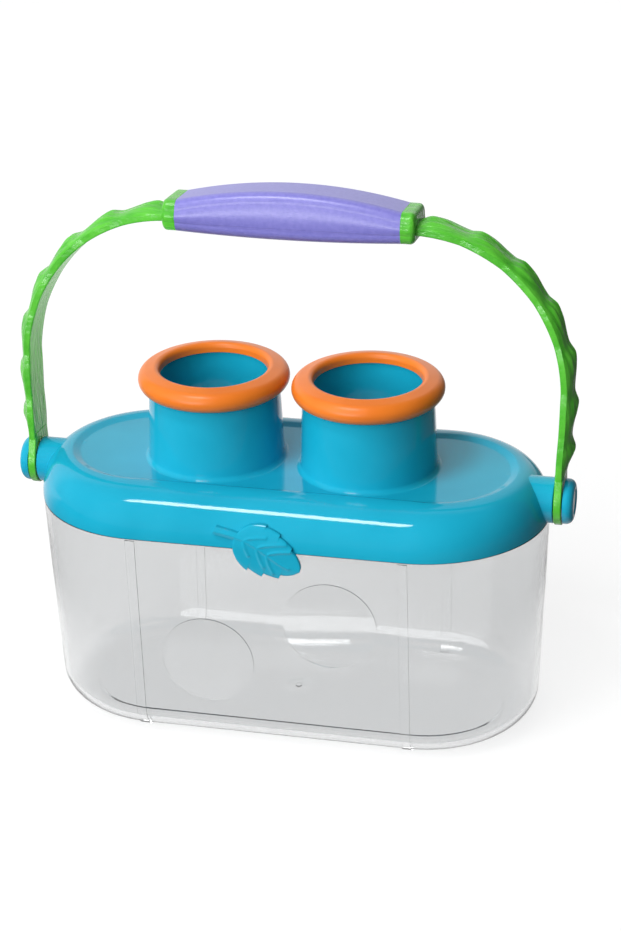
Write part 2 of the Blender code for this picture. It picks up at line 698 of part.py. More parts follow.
def vine_height(place_along, across):
    """Relief of the leaves at a count of leaves along the arm and a share of its half width.

    Each leaf stands proud at its tip, which points up to the grip, and sinks towards the pivot.
    """
    phase = (place_along - VINE_SWEEP * across ** 2) % 1.0
    if phase < VINE_TIP_SHARE:
        lift = 0.5 - 0.5 * cos(pi * phase / VINE_TIP_SHARE)
    else:
        lift = (1 - phase) / (1 - VINE_TIP_SHARE)
    rib = VINE_RIB if across == 0 else 0.0
    return VINE_BASE + VINE_RISE * lift * (1 - VINE_CROWN * across ** 2) - rib


def arm_section(point, direction, leaf_count):
    """Section of the arm: a flat band with rounded edges whose outer face carries the leaves."""
    outward = Vector((-direction.z, 0, direction.x))
    swell = VINE_SPREAD * sin(pi * (leaf_count % 1.0))
    half = ARM_WIDTH / 2 - VINE_SPREAD + swell
    flat = half - ARM_EDGE
    section = [(flat, 0), (-flat, 0), (-half, ARM_EDGE), (-half, ARM_THICKNESS - ARM_EDGE)]
    for across in LEAF_COLUMNS:
        section.append((across * half, ARM_THICKNESS + vine_height(leaf_count, across)))
    section += [(half, ARM_THICKNESS - ARM_EDGE), (half, ARM_EDGE)]
    return [point + Vector((0, across, 0)) + outward * out for across, out in section]


def build_arm(name, side):
    line = arm_path()
    length = sum((b - a).length for a, b in zip(line, line[1:]))
    stations = VINE_LEAVES * LEAF_STEPS
    rings = []
    for i in range(stations + 1):
        point, direction = path_point(line, length * i / stations)
        ring = arm_section(point, direction, VINE_LEAVES * i / stations)
        rings.append([Vector((side * p.x, p.y, p.z)) for p in ring])
    return loft(name, rings)


def eyelet_outline():
    """Eyelet in (y, z): a round end about the pivot, and a neck that runs up into the arm."""
    half = ARM_WIDTH / 2 - VINE_SPREAD - ARM_EDGE - FIT_GAP
    shoulder = asin(half / EYELET_RADIUS)
    round_end = arc((0, 0), EYELET_RADIUS, SQUARE_TURN + shoulder, 5 * SQUARE_TURN - shoulder, PIN_STEPS)
    neck_top = VINE_END + EYELET_THICKNESS
    return round_end + [(half, neck_top), (-half, neck_top)]


def end_block(name, side):
    """Block at the end of the grip: the grip's own end section, carried on and rounded off."""
    section = grip_section(GRIP_LENGTH / 2)
    middle = GRIP_BOTTOM + GRIP_END_HEIGHT / 2
    rings = [(BLOCK_INNER, 0.0)]
    for i in range(ROUNDING_STEPS + 1):
        turn = SQUARE_TURN * i / ROUNDING_STEPS
        rings.append((BLOCK_OUTER - BLOCK_ROUNDING * (1 - sin(turn)), BLOCK_ROUNDING * (1 - cos(turn))))
    loops = []
    for x, inset in rings:
        across = 1 - 2 * inset / GRIP_WIDTH
        upright = 1 - 2 * inset / GRIP_END_HEIGHT
        loops.append([Vector((side * x, p.y * across, middle + (p.z - middle) * upright)) for p in section])
    return loft(name, loops)


def build_handle(material, swing):
    core_half = GRIP_LENGTH / 2 + OVERRUN
    core_top = CORE_BOTTOM + CORE_HEIGHT
    handle = place(box("handle", (-core_half, -CORE_WIDTH / 2, CORE_BOTTOM),
                       (core_half, CORE_WIDTH / 2, core_top)), material, swing)
    for end, side in (("left", -1), ("right", 1)):
        combine(handle, tool(end_block(f"end_block_{end}", side), swing), "UNION")
        combine(handle, tool(build_arm(f"arm_{end}", side), swing), "UNION")
        eyelet = plate(f"eyelet_{end}", eyelet_outline(), EYELET_THICKNESS)
        combine(handle, tool(eyelet, swing, (side * (EYELET_INNER + EYELET_OUTER) / 2, 0, 0),
                             (SQUARE_TURN, 0, SQUARE_TURN)), "UNION")
        hole = rod(f"eyelet_bore_{end}", PIN_BORE, EYELET_THICKNESS + 2 * OVERRUN, PIN_STEPS)
        combine(handle, tool(hole, swing, (side * (EYELET_INNER - OVERRUN), 0, 0),
                             (0, side * SQUARE_TURN, 0)), "DIFFERENCE")
        drill = rod(f"core_hole_{end}", SCREW_RADIUS + FIT_GAP, CORE_HEIGHT + 2 * OVERRUN, PIN_STEPS)
        combine(handle, tool(drill, swing, (side * SCREW_OFFSET, 0, CORE_BOTTOM - OVERRUN)), "DIFFERENCE")


def grip_swell(x):
    """How far the grip has swelled at x: nothing at its ends, 1 in its middle."""
    return 1 - (2 * x / GRIP_LENGTH) ** 2


def grip_floor(x):
    return GRIP_BOTTOM - GRIP_SAG * grip_swell(x)


def grip_section(x):
    """Section of the whole grip at x: arched along its top, nearly flat below, with a slight belly."""
    top = GRIP_BOTTOM + GRIP_END_HEIGHT + (GRIP_MID_HEIGHT - GRIP_END_HEIGHT) * grip_swell(x)
    half = GRIP_WIDTH / 2 - GRIP_BELLY
    low = grip_floor(x)
    middle = (low + top) / 2
    r = GRIP_ROUNDING
    section = []
    for y, z, start in ((half, top, 0), (-half, top, SQUARE_TURN),
                        (-half, low, pi), (half, low, 3 * SQUARE_TURN)):
        centre = (y - r if y > 0 else y + r, z - r if z > middle else z + r)
        section += arc(centre, r, start, start + SQUARE_TURN, ROUNDING_STEPS)
        if start == SQUARE_TURN:
            section.append((-half - GRIP_BELLY, middle))
    section.append((half + GRIP_BELLY, middle))
    return [Vector((x, y, z)) for y, z in section]


def grip_shell(name, keep_above):
    """One of the grip's two shells: the whole grip cut at the parting plane."""
    half = GRIP_LENGTH / 2
    whole = loft(name, [grip_section(half * (2 * i / GRIP_STEPS - 1)) for i in range(GRIP_STEPS + 1)])
    shift = FIT_GAP / 2 if keep_above else -FIT_GAP / 2
    bm = bmesh.new()
    bm.from_mesh(whole.data)
    cut = bmesh.ops.bisect_plane(
        bm, geom=bm.verts[:] + bm.edges[:] + bm.faces[:], plane_co=(0, 0, GRIP_SPLIT + shift),
        plane_no=(0, 0, 1), clear_inner=keep_above, clear_outer=not keep_above)
    rim = [item for item in cut["geom_cut"] if isinstance(item, bmesh.types.BMEdge)]
    bmesh.ops.edgeloop_fill(bm, edges=rim)
    bmesh.ops.recalc_face_normals(bm, faces=bm.faces)
    bm.to_mesh(whole.data)
    bm.free()
    return whole


def build_grip(material, screw_material, swing):
    upper = place(grip_shell("grip_upper", True), material, swing)
    lower = place(grip_shell("grip_lower", False), material, swing)
    gap = FIT_GAP
    reach = GRIP_LENGTH / 2 + OVERRUN
    channel = tool(box("core_channel", (-reach, -CORE_WIDTH / 2 - gap, CORE_BOTTOM - gap),
                       (reach, CORE_WIDTH / 2 + gap, CORE_BOTTOM + CORE_HEIGHT + gap)), swing)
    combine(upper, channel, "DIFFERENCE")
    combine(lower, channel, "DIFFERENCE")
    head_face = grip_floor(SCREW_OFFSET) + gap
    head_seat = head_face + SCREW_HEAD_HEIGHT
    tip = CORE_BOTTOM + CORE_HEIGHT + SCREW_BITE
    for end, side in (("left", -1), ("right", 1)):
        x = side * SCREW_OFFSET
        pilot = tool(rod(f"pilot_hole_{end}", SCREW_RADIUS + gap, tip + gap - head_face, PIN_STEPS),
                     swing, (x, 0, head_face))
        combine(upper, pilot, "DIFFERENCE")
        combine(lower, pilot, "DIFFERENCE")
        pocket = tool(rod(f"head_pocket_{end}", SCREW_HEAD_RADIUS + gap, SCREW_HEAD_HEIGHT + gap + OVERRUN,
                          PIN_STEPS), swing, (x, 0, head_face - OVERRUN))
        combine(lower, pocket, "DIFFERENCE")
        shank = [(0, tip), (SCREW_RADIUS, tip - SCREW_RADIUS), (SCREW_RADIUS, head_seat),
                 (SCREW_HEAD_RADIUS, head_seat), (SCREW_HEAD_RADIUS, head_face), (0, head_face)]
        screw = place(turned(f"grip_screw_{end}", shank, PIN_STEPS), screw_material, swing, (x, 0, 0))
        half = SCREW_RECESS_LENGTH / 2
        for arm, turn in (("a", 0), ("b", SQUARE_TURN)):
            slot = box(f"drive_slot_{end}_{arm}",
                       (-half, -SCREW_RECESS_WIDTH / 2, head_face - OVERRUN),
                       (half, SCREW_RECESS_WIDTH / 2, head_face + SCREW_RECESS_DEPTH))
            combine(screw, tool(slot, swing, (x, 0, 0), (0, 0, turn)), "DIFFERENCE")


def group_empty(name, parent, location):
    """The parent of a moving group, on its joint's axis."""
    empty = bpy.data.objects.new(name, None)
    PARTS.objects.link(empty)
    empty.parent = parent
    empty.location = location
    return empty


clear_scene()
PARTS = make_collection("bug_viewer")
CUTTERS = make_collection("cutters")

clear_plastic = plastic("clear_plastic", (0.90, 0.92, 0.92), 0.05, transmission=1.0)
lens_plastic = plastic("lens_plastic", (0.95, 0.97, 0.97), 0.02, transmission=1.0)
turquoise = plastic("turquoise_plastic", (0.02, 0.47, 0.68), 0.20)
orange = plastic("orange_rubber", (0.90, 0.21, 0.02), 0.45)
green = plastic("green_plastic", (0.07, 0.51, 0.03), 0.35)
purple = plastic("purple_plastic", (0.26, 0.21, 0.69), 0.45)
steel = metal("screw_steel", (0.60, 0.60, 0.62), 0.35)

lid_group = group_empty("lid_lift", None, (0, 0, LID_BOTTOM))
handle_group = group_empty("handle_swing", lid_group, (0, 0, PIVOT_RISE))
handle_group.rotation_euler = (-HANDLE_LEAN, 0, 0)

build_tub(clear_plastic)
build_lid(turquoise, lid_group)
build_eyepieces(orange, lens_plastic, turquoise, lid_group)
build_pins(turquoise, lid_group)
build_handle(green, handle_group)
build_grip(purple, steel, handle_group)
bpy.context.view_layer.update()
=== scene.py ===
"""Looks of the bug viewer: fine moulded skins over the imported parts, materials, light and camera.

All sizes are in metres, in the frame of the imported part: +X along the box, -Y the front, +Z up.
"""

from bisect import bisect_left
from math import acos, atan2, copysign, cos, exp, hypot, inf, pi, radians, sin, sqrt

import bmesh
import bpy
from mathutils import Matrix, Vector
from mathutils.geometry import interpolate_bezier


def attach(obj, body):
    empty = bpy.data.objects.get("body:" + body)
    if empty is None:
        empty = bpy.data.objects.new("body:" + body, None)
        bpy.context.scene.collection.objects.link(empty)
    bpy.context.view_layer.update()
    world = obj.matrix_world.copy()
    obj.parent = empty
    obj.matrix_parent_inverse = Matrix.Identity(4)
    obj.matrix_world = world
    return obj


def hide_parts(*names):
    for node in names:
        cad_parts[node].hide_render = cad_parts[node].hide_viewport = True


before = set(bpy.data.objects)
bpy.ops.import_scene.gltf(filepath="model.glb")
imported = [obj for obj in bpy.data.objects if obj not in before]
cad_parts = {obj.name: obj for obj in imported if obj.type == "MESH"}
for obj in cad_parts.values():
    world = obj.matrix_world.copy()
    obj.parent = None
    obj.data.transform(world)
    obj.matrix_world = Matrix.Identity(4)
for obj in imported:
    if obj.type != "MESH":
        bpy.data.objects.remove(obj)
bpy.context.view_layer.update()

# Plan of the box and the clearance between pieces
LID_LENGTH = 0.190
LID_WIDTH = 0.0904
FIT_GAP = 0.0003

# Clear tub
TUB_HEIGHT = 0.0822
TUB_SETBACK = 0.0001
TUB_TAPER = 0.0034
TUB_WALL = 0.0018
TUB_FLOOR = 0.0020
TUB_BOTTOM_RADIUS = 0.0110
FLOOR_PANEL_RISE = 0.0005
FLOOR_PANEL_INSET = 0.0015
PANEL_EASE = 0.0018
NECK_HEIGHT = 0.0042
NECK_WALL = 0.0016
GATE_RADIUS = 0.0060
GATE_NUB_RADIUS = 0.0012
GATE_DEPTH = 0.0004
GATE_SLOPE = 3.0
BAND_WIDTH = 0.0035
BAND_HEIGHT = 0.0004
BAND_FOOT_ANGLE = radians(62.0)
BULGE_RADIUS = 0.0172
BULGE_LEFT_RISE = 0.0014
BULGE_RIGHT_RISE = 0.0010
BULGE_STEP = 0.0003
BULGE_OFFSET = 0.0230
BULGE_LEFT_HEIGHT = 0.0348
BULGE_RIGHT_HEIGHT = 0.0538

# Lid and eyepieces
LID_HEIGHT = 0.0164
LID_EDGE_RADIUS = 0.0160
LID_END_REACH = 0.0042
LID_WALL = 0.0022
PANEL_RECESS = 0.0011
PANEL_SLOPE = 0.0024
BOSS_RADIUS = 0.0084
BOSS_REACH = 0.0020
PIVOT_RISE = 0.0070
SKIRT_DROP = 0.0002
TUBE_RADIUS = 0.0238
TUBE_WALL = 0.0028
TUBE_HEIGHT = 0.0315
TUBE_FLARE = 0.0012
TUBE_FILLET = 0.0022
FILLET_SINK = 0.0001
LENS_SEAT_WALL = 0.0023
LENS_EDGE = 0.0020
LENS_CROWN = 0.0016
LENS_LEDGE_WIDTH = 0.0022
LENS_LEDGE = 0.0016
LENS_RING_HEIGHT = 0.0060
CUP_BEAD_RADIUS = 0.0039
CUP_LIP_RADIUS = 0.0019
CUP_LIP_RISE = 0.0026
CUP_LIP_INSET = 0.0022
CUP_OVERHANG = 0.0039
CUP_DROP = 0.0007
CUP_SPACE = 0.0020

# Leaf tab on the lid
TAB_LENGTH = 0.0260
TAB_HALF_WIDTH = 0.0090
TAB_BELLY = 0.75
TAB_FULLNESS = 0.6
TAB_TEETH = 3
TAB_TOOTH_START = 1.5
TAB_TOOTH_BASE = 0.5
TAB_TIP_TAPER = 4.0
TAB_UPPER_TOOTH = 0.0007
TAB_LOWER_TOOTH = 0.0014
TAB_STEM_LENGTH = 0.0078
TAB_STEM_WIDTH = 0.0028
TAB_RIB_SWAY = 0.0013
TAB_RIB_CREST = 0.17
TAB_RIB_WAVE = 1.4
TAB_RIB_END = 0.84
TAB_RIB_STEPS = 19
TAB_VEIN_ROOTS = (0.13, 0.34, 0.50)
TAB_VEIN_REACH = 0.66
TAB_VEIN_CURL = 1.4
TAB_UPPER_SLANT = 1.5
TAB_LOWER_SLANT = 0.8
TAB_VEIN_STEPS = 5
TAB_VEIN_RISE = 0.00035
TAB_VEIN_WIDTH = 0.00055
TAB_PROUD = 0.0014
TAB_DOME = 0.0003
TAB_EDGE_SHARE = 0.05
TAB_STATIONS = 180
TAB_COLUMNS = 64
TAB_BASE_X = -0.0105
TAB_BASE_RISE = 0.0042
TAB_TURN = radians(-23.0)

# Handle and grip
HANDLE_LEAN = radians(6.0)
HANDLE_SPREAD = 0.0010
ARCH_FOOT = 0.0410
ARCH_TOP = 0.0962
ARM_WIDTH = 0.0150
ARM_THICKNESS = 0.0029
ARM_EDGE = 0.0006
EYELET_RADIUS = 0.0088
EYELET_THICKNESS = 0.0028
VINE_LEAVES = 7
VINE_BASE = 0.0012
VINE_RISE = 0.0014
VINE_RIB = 0.0004
VINE_RIB_WIDTH = 0.14
VINE_VEIN = 0.00026
VINE_VEINS = 3
VINE_FAN = 0.8
VINE_TIP_SHARE = 0.30
VINE_SWEEP = 0.16
VINE_CROWN = 0.45
VINE_DOME = 3.0
VINE_FADE = 0.6
VINE_SPREAD = 0.0005
VINE_CLEARANCE = 0.0008
BLOCK_THICKNESS = 0.0050
BLOCK_ROUNDING = 0.0018
GRIP_LENGTH = 0.0816
GRIP_WIDTH = 0.0225
GRIP_END_HEIGHT = 0.0114
GRIP_MID_HEIGHT = 0.0162
GRIP_DROP = 0.0030
GRIP_ROUNDING = 0.0036
GRIP_BELLY = 0.0006
GRIP_SAG = 0.0012
GRIP_SEAM = 0.00004
GRIP_SPLIT_RISE = 0.0036
CORE_WIDTH = 0.0070
CORE_HEIGHT = 0.0046
CORE_SINK = 0.0008
SCREW_OFFSET = 0.0260
SCREW_RADIUS = 0.0012
SCREW_HEAD_RADIUS = 0.0024
SCREW_HEAD_HEIGHT = 0.0014
SCREW_BITE = 0.0042

# Pivot pins
PIN_RADIUS = 0.0030
PIN_REACH = 0.0020
PIN_CHAMFER = 0.0006
PIN_HEAD_RADIUS = 0.0083
PIN_HEAD_HEIGHT = 0.0037
PIN_HEAD_ROUNDING = 0.0027
PIN_DISH_RADIUS = 0.0046
PIN_DISH_DEPTH = 0.0003

# Facets and small roundings
END_STEPS = 56
TURN_STEPS = 112
PIN_STEPS = 64
CORNER_STEPS = 16
EDGE_STEPS = 24
BLOCK_STEPS = 6
ARCH_STEPS = 240
FOOT_STEPS = 120
CUP_STEPS = 32
SOFT_STEPS = 4
LEAF_STEPS = 22
LEAF_COLUMNS = 36
GRIP_STEPS = 48
SOFT_EDGE = 0.0004
SHARP_ANGLE = radians(35.0)
STRAIGHT_ENOUGH = radians(20.0)
OVERRUN = 0.0010
WELD = 0.000002
SQUARE_TURN = pi / 2
QUARTER_BOW = 4 / 3 * (sqrt(2) - 1)
SPRING_PULL = 1 / 2
FOOT_PULL = 1 / 3

# Places worked out from the sizes above
LID_RADIUS = LID_WIDTH / 2
STRAIGHT_HALF = (LID_LENGTH - LID_WIDTH) / 2
TUB_TOP_RADIUS = LID_RADIUS - TUB_SETBACK
LID_BOTTOM = TUB_HEIGHT + FIT_GAP
EDGE_START = LID_HEIGHT - LID_EDGE_RADIUS
CREST_RADIUS = LID_RADIUS - LID_EDGE_RADIUS
PANEL_TOP = LID_HEIGHT - PANEL_RECESS
CEILING = PANEL_TOP - LID_WALL
SKIRT_INNER = LID_RADIUS - LID_WALL
CAVITY_EDGE_RADIUS = LID_EDGE_RADIUS - LID_WALL
TUBE_TOP = PANEL_TOP + TUBE_HEIGHT
TUBE_BORE = TUBE_RADIUS - TUBE_WALL
RING_SEAT_RADIUS = TUBE_RADIUS - LENS_SEAT_WALL
LENS_RADIUS = RING_SEAT_RADIUS - FIT_GAP
LENS_HOLE_RADIUS = LENS_RADIUS - LENS_LEDGE_WIDTH
CUP_RADIUS = TUBE_RADIUS + CUP_OVERHANG - CUP_BEAD_RADIUS
EYE_SPACING = 2 * (TUBE_RADIUS + CUP_OVERHANG) + CUP_SPACE
LENS_BOTTOM = CEILING + LENS_RING_HEIGHT + FIT_GAP
LENS_SEAT = LENS_BOTTOM + LENS_EDGE + FIT_GAP
BOSS_FACE = LID_LENGTH / 2 + BOSS_REACH
EYELET_INNER = BOSS_FACE + FIT_GAP
EYELET_OUTER = EYELET_INNER + EYELET_THICKNESS
HEAD_INNER = EYELET_OUTER + FIT_GAP
PIN_BORE = PIN_RADIUS + FIT_GAP
VINE_END = PIN_HEAD_RADIUS + VINE_CLEARANCE
ARCH_HALF_WIDTH = EYELET_INNER + HANDLE_SPREAD
GRIP_BOTTOM = ARCH_TOP - GRIP_DROP
GRIP_SPLIT = GRIP_BOTTOM + GRIP_SPLIT_RISE
BLOCK_INNER = GRIP_LENGTH / 2 + GRIP_SEAM
BLOCK_OUTER = BLOCK_INNER + BLOCK_THICKNESS
CORE_BOTTOM = GRIP_SPLIT - CORE_SINK
TUB_CLEAR_RADIUS = TUB_TOP_RADIUS + FIT_GAP
LID_PLACE = Matrix.Translation((0, 0, LID_BOTTOM))
HANDLE_PLACE = Matrix.Translation((0, 0, LID_BOTTOM + PIVOT_RISE)) @ Matrix.Rotation(-HANDLE_LEAN, 4, "X")

# Colours in linear light: a dark and a pale one that drift into each other, or one tint
TURQUOISE_COLOURS = ((0.006, 0.335, 0.50), (0.012, 0.375, 0.55))
ORANGE_COLOURS = ((0.74, 0.172, 0.014), (0.80, 0.198, 0.020))
GREEN_COLOURS = ((0.052, 0.38, 0.020), (0.118, 0.55, 0.046))
PURPLE_COLOURS = ((0.176, 0.166, 0.54), (0.218, 0.206, 0.60))
STEEL_COLOURS = ((0.55, 0.55, 0.57), (0.66, 0.66, 0.68))
TUB_TINT = (0.82, 0.826, 0.83)
LENS_TINT = (0.97, 0.98, 0.98)
RAMP_ENDS = (0.3, 0.7)

# Grain is noise of a scale per metre, a detail and, where streaky, a stretch along each axis
HANDLING_MARKS = (320.0, 4.0)
FLOW_LINES = (55.0, 2.0, (0.35, 1.0, 1.0))
FLOW_DEPTH = 0.0006
PLASTIC_IOR = 1.49

# Stage: spans of direction or place, and the levels of light at their two ends
WORLD_BACK_SPAN = (0.0, 0.45)
WORLD_SIDE_SPAN = (0.10, 0.50)
WORLD_SIDE_LEVELS = (1.0, 0.12)
ROOM_SPAN = (-0.7, 0.6)
ROOM_LEVELS = (0.45, 0.05)
FLOOR_BACK_SPAN = (0.02, 0.16)
FLOOR_SIDE_SPAN = (0.08, 0.16)
FLOOR_NEAR_SPAN = (0.12, 0.18)
FADE_IN = (0.0, 1.0)
FADE_OUT = (1.0, 0.0)
WHITE = (1.0, 1.0, 1.0, 1.0)

# Floor and main light
FLOOR_BOUNCE = 0.18
FLOOR_SHADE = 0.24
FLOOR_GLOW = 0.80
FLOOR_HALF = 8.0
FLOOR_SINK = 0.0003
SUN_ENERGY = 3.3
SUN_ANGLE = radians(60.0)
SUN_DIRECTION = Vector((0.40, 0.80, -0.42))

# The camera of the photograph, 621 by 931 pixels
PHOTO_HEIGHT = 931
FOCAL_PIXELS = 2471.3
SENSOR = 36.0
VIEW_TARGET = Vector((0.006585, 0.0, 0.095435))
VIEW_DISTANCE = 0.90621
VIEW_AZIMUTH = 0.2439
VIEW_ELEVATION = 0.4421
VIEW_ROLL = -0.0257
VIEW_CLIP = (0.01, 50.0)


# Shapes

def arc(centre, radius, start, end, steps=CORNER_STEPS):
    """Points of an arc from one angle to another, as (across, up) pairs, both ends included."""
    points = []
    for i in range(steps + 1):
        angle = start + (end - start) * i / steps
        points.append((centre[0] + radius * cos(angle), centre[1] + radius * sin(angle)))
    return points


def soften(points, setback=SOFT_EDGE):
    """Round the corners of a line of points, and keep its two ends."""
    line = [Vector(point) for point in points]
    soft = [line[0]]
    for before, corner, after in zip(line, line[1:], line[2:]):
        inward = before - corner
        onward = after - corner
        if pi - inward.angle(onward) < STRAIGHT_ENOUGH:
            soft.append(corner)
            continue
        start = corner + inward.normalized() * min(setback, inward.length / 2)
        end = corner + onward.normalized() * min(setback, onward.length / 2)
        for i in range(SOFT_STEPS + 1):
            share = i / SOFT_STEPS
            rest = 1 - share
            soft.append(start * rest ** 2 + corner * (2 * share * rest) + end * share ** 2)
    return soft + [line[-1]]


def ease(share):
    """Smooth step from 0 to 1."""
    return (1 - cos(pi * share)) / 2


def new_object(name, data):
    """Put data in the scene as an object."""
    item = bpy.data.objects.new(name, data)
    bpy.context.scene.collection.objects.link(item)
    return item


def mesh_object(name, bm, matrix=None):
    """Weld a mesh, turn its faces out and put it in the scene."""
    if matrix is not None:
        bmesh.ops.transform(bm, matrix=matrix, verts=bm.verts)
    bmesh.ops.remove_doubles(bm, verts=bm.verts, dist=WELD)
    bmesh.ops.recalc_face_normals(bm, faces=bm.faces)
    mesh = bpy.data.meshes.new(name)
    bm.to_mesh(mesh)
    bm.free()
    return new_object(name, mesh)


def only(kind, items):
    """The points or the edges among pieces of a mesh."""
    return [item for item in items if isinstance(item, kind)]


def stretch_ends(bm):
    """Draw the lid's crest out towards its two ends, and leave its outer edge in place."""
    for vert in bm.verts:
        past = abs(vert.co.x) - STRAIGHT_HALF
        out = hypot(past, vert.co.y)
        if past <= 0 or out >= LID_RADIUS:
            continue
        share = min(out / CREST_RADIUS, (LID_RADIUS - out) / LID_EDGE_RADIUS)
        grown = 1 + LID_END_REACH * share * past / out ** 2
        vert.co.x = copysign(STRAIGHT_HALF + past * grown, vert.co.x)
        vert.co.y *= grown


def stadium_sweep(name, profile, matrix=None, stretched=False):
    """Carry a profile of (distance from the spine, height) once round the plan of the box."""
    bm = bmesh.new()
    points = [bm.verts.new((STRAIGHT_HALF, -out, up)) for out, up in profile]
    strip = [bm.edges.new(pair) for pair in zip(points, points[1:])]
    for side in (1, -1):
        turned_end = bmesh.ops.spin(
            bm, geom=points + strip, cent=(side * STRAIGHT_HALF, 0, 0),
            axis=(0, 0, 1), angle=pi, steps=END_STEPS)
        last = only(bmesh.types.BMEdge, turned_end["geom_last"])
        drawn = bmesh.ops.extrude_edge_only(bm, edges=last)["geom"]
        points = only(bmesh.types.BMVert, drawn)
        moved = set(points)
        strip = [edge for edge in only(bmesh.types.BMEdge, drawn) if moved.issuperset(edge.verts)]
        bmesh.ops.translate(bm, verts=points, vec=(-side * 2 * STRAIGHT_HALF, 0, 0))
    if stretched:
        stretch_ends(bm)
    return mesh_object(name, bm, matrix)


def turned(name, profile, steps, matrix=None, closed=False):
    """A profile of (radius, height) turned about Z."""
    bm = bmesh.new()
    points = [bm.verts.new((out, 0, up)) for out, up in profile]
    strip = [bm.edges.new(pair) for pair in zip(points, points[1:])]
    if closed:
        strip.append(bm.edges.new((points[-1], points[0])))
    bmesh.ops.spin(bm, geom=points + strip, cent=(0, 0, 0), axis=(0, 0, 1), angle=2 * pi, steps=steps)
    return mesh_object(name, bm, matrix)


def loft(name, rings, matrix=None):
    """Skin a row of closed sections that share their number of points, and cap both ends."""
    bm = bmesh.new()
    loops = [[bm.verts.new(point) for point in ring] for ring in rings]
    for near, far in zip(loops, loops[1:]):
        for i in range(len(near)):
            j = (i + 1) % len(near)
            bm.faces.new((near[i], near[j], far[j], far[i]))
    bm.faces.new(loops[0])
    bm.faces.new(loops[-1])
    return mesh_object(name, bm, matrix)


def box(name, low, high, matrix=None):
    """A block between two opposite corners."""
    bm = bmesh.new()
    bmesh.ops.create_cube(bm, size=1.0)
    bmesh.ops.scale(bm, verts=bm.verts, vec=[b - a for a, b in zip(low, high)])
    bmesh.ops.translate(bm, verts=bm.verts, vec=[(a + b) / 2 for a, b in zip(low, high)])
    return mesh_object(name, bm, matrix)


def rod(name, radius, length, matrix):
    """A cylinder that stands on the origin."""
    return turned(name, [(0, length), (radius, length), (radius, 0), (0, 0)], PIN_STEPS, matrix)


def plate(name, outline, thickness, matrix, rounding=0.0):
    """A flat outline in XY, thickened evenly about Z = 0, with rounded edges."""
    bm = bmesh.new()
    face = bm.faces.new([bm.verts.new((across, up, -thickness / 2)) for across, up in outline])
    lifted = bmesh.ops.extrude_face_region(bm, geom=[face])["geom"]
    bmesh.ops.translate(bm, verts=only(bmesh.types.BMVert, lifted), vec=(0, 0, thickness))
    if rounding:
        rims = [edge for edge in bm.edges if abs(edge.verts[0].co.z - edge.verts[1].co.z) < WELD]
        bmesh.ops.bevel(bm, geom=rims, offset=rounding, segments=SOFT_STEPS, profile=0.5, affect="EDGES")
    return mesh_object(name, bm, matrix)


def settle(item):
    """Give an object the mesh that its modifiers make."""
    bpy.context.view_layer.update()
    evaluated = item.evaluated_get(bpy.context.evaluated_depsgraph_get())
    made = bpy.data.meshes.new_from_object(evaluated)
    item.modifiers.clear()
    item.data = made


def combine(target, *steps):
    """Join shapes to a target or cut them from it, in turn, and remove them."""
    for other, operation in steps:
        step = target.modifiers.new(other.name, "BOOLEAN")
        step.operation = operation
        step.object = other
        step.solver = "EXACT"
    settle(target)
    for other, _ in steps:
        bpy.data.objects.remove(other, do_unlink=True)
    return target


def finish_piece(item, material, body, slot, *nodes):
    """Shade a piece smooth between its sharp edges and put it on its body in place of its solids."""
    item.data.materials.clear()
    item.data.materials.append(material)
    item.data.shade_smooth()
    item.data.set_sharp_from_angle(angle=SHARP_ANGLE)
    even = item.modifiers.new("even_shading", "WEIGHTED_NORMAL")
    even.keep_sharp = True
    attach(item, body)
    if nodes:
        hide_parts(*nodes)


def dome_line(radius, rise):
    """Points of a spherical dome from its top down to its rim, at height 0."""
    sphere = (radius ** 2 + rise ** 2) / (2 * rise)
    points = []
    for i in range(CORNER_STEPS + 1):
        out = radius * i / CORNER_STEPS
        points.append((out, sqrt(sphere ** 2 - out ** 2) - sphere + rise))
    return points


def turn_out(side):
    """Turn Z to point out of the left or right end."""
    return Matrix.Rotation(side * SQUARE_TURN, 4, "Y")


# Materials

def new_material(name):
    """A material with its node tree and its shader."""
    material = bpy.data.materials.new(name)
    material.use_nodes = True
    return material, material.node_tree, material.node_tree.nodes["Principled BSDF"]


def new_node(tree, kind, inputs):
    """A node and its inputs, by name or number: each is a value, or another node's output."""
    node = tree.nodes.new(kind)
    for key, source in inputs.items():
        if isinstance(source, bpy.types.NodeSocket):
            tree.links.new(source, node.inputs[key])
        else:
            node.inputs[key].default_value = source
    return node


def noise(tree, scale, detail, stretch=(1.0, 1.0, 1.0)):
    """Noise in the part's own frame, so that it stays on the piece."""
    where = tree.nodes.new("ShaderNodeTexCoord").outputs["Object"]
    mapping = new_node(tree, "ShaderNodeMapping", {"Vector": where, "Scale": stretch})
    texture = new_node(tree, "ShaderNodeTexNoise", {
        "Vector": mapping.outputs["Vector"], "Scale": scale, "Detail": detail})
    return texture.outputs["Fac"]


def vary_colour(tree, shader, grain, colours):
    """Drift the base colour between a dark and a pale one."""
    ramp = new_node(tree, "ShaderNodeValToRGB", {"Fac": noise(tree, *grain)})
    for stop, place, colour in zip(ramp.color_ramp.elements, RAMP_ENDS, colours):
        stop.position = place
        stop.color = (*colour, 1.0)
    tree.links.new(ramp.outputs["Color"], shader.inputs["Base Color"])


def vary_roughness(tree, shader, grain, low, high):
    """Drift the roughness between two values."""
    span = new_node(tree, "ShaderNodeMapRange", {
        "Value": noise(tree, *grain), "To Min": low, "To Max": high})
    tree.links.new(span.outputs["Result"], shader.inputs["Roughness"])


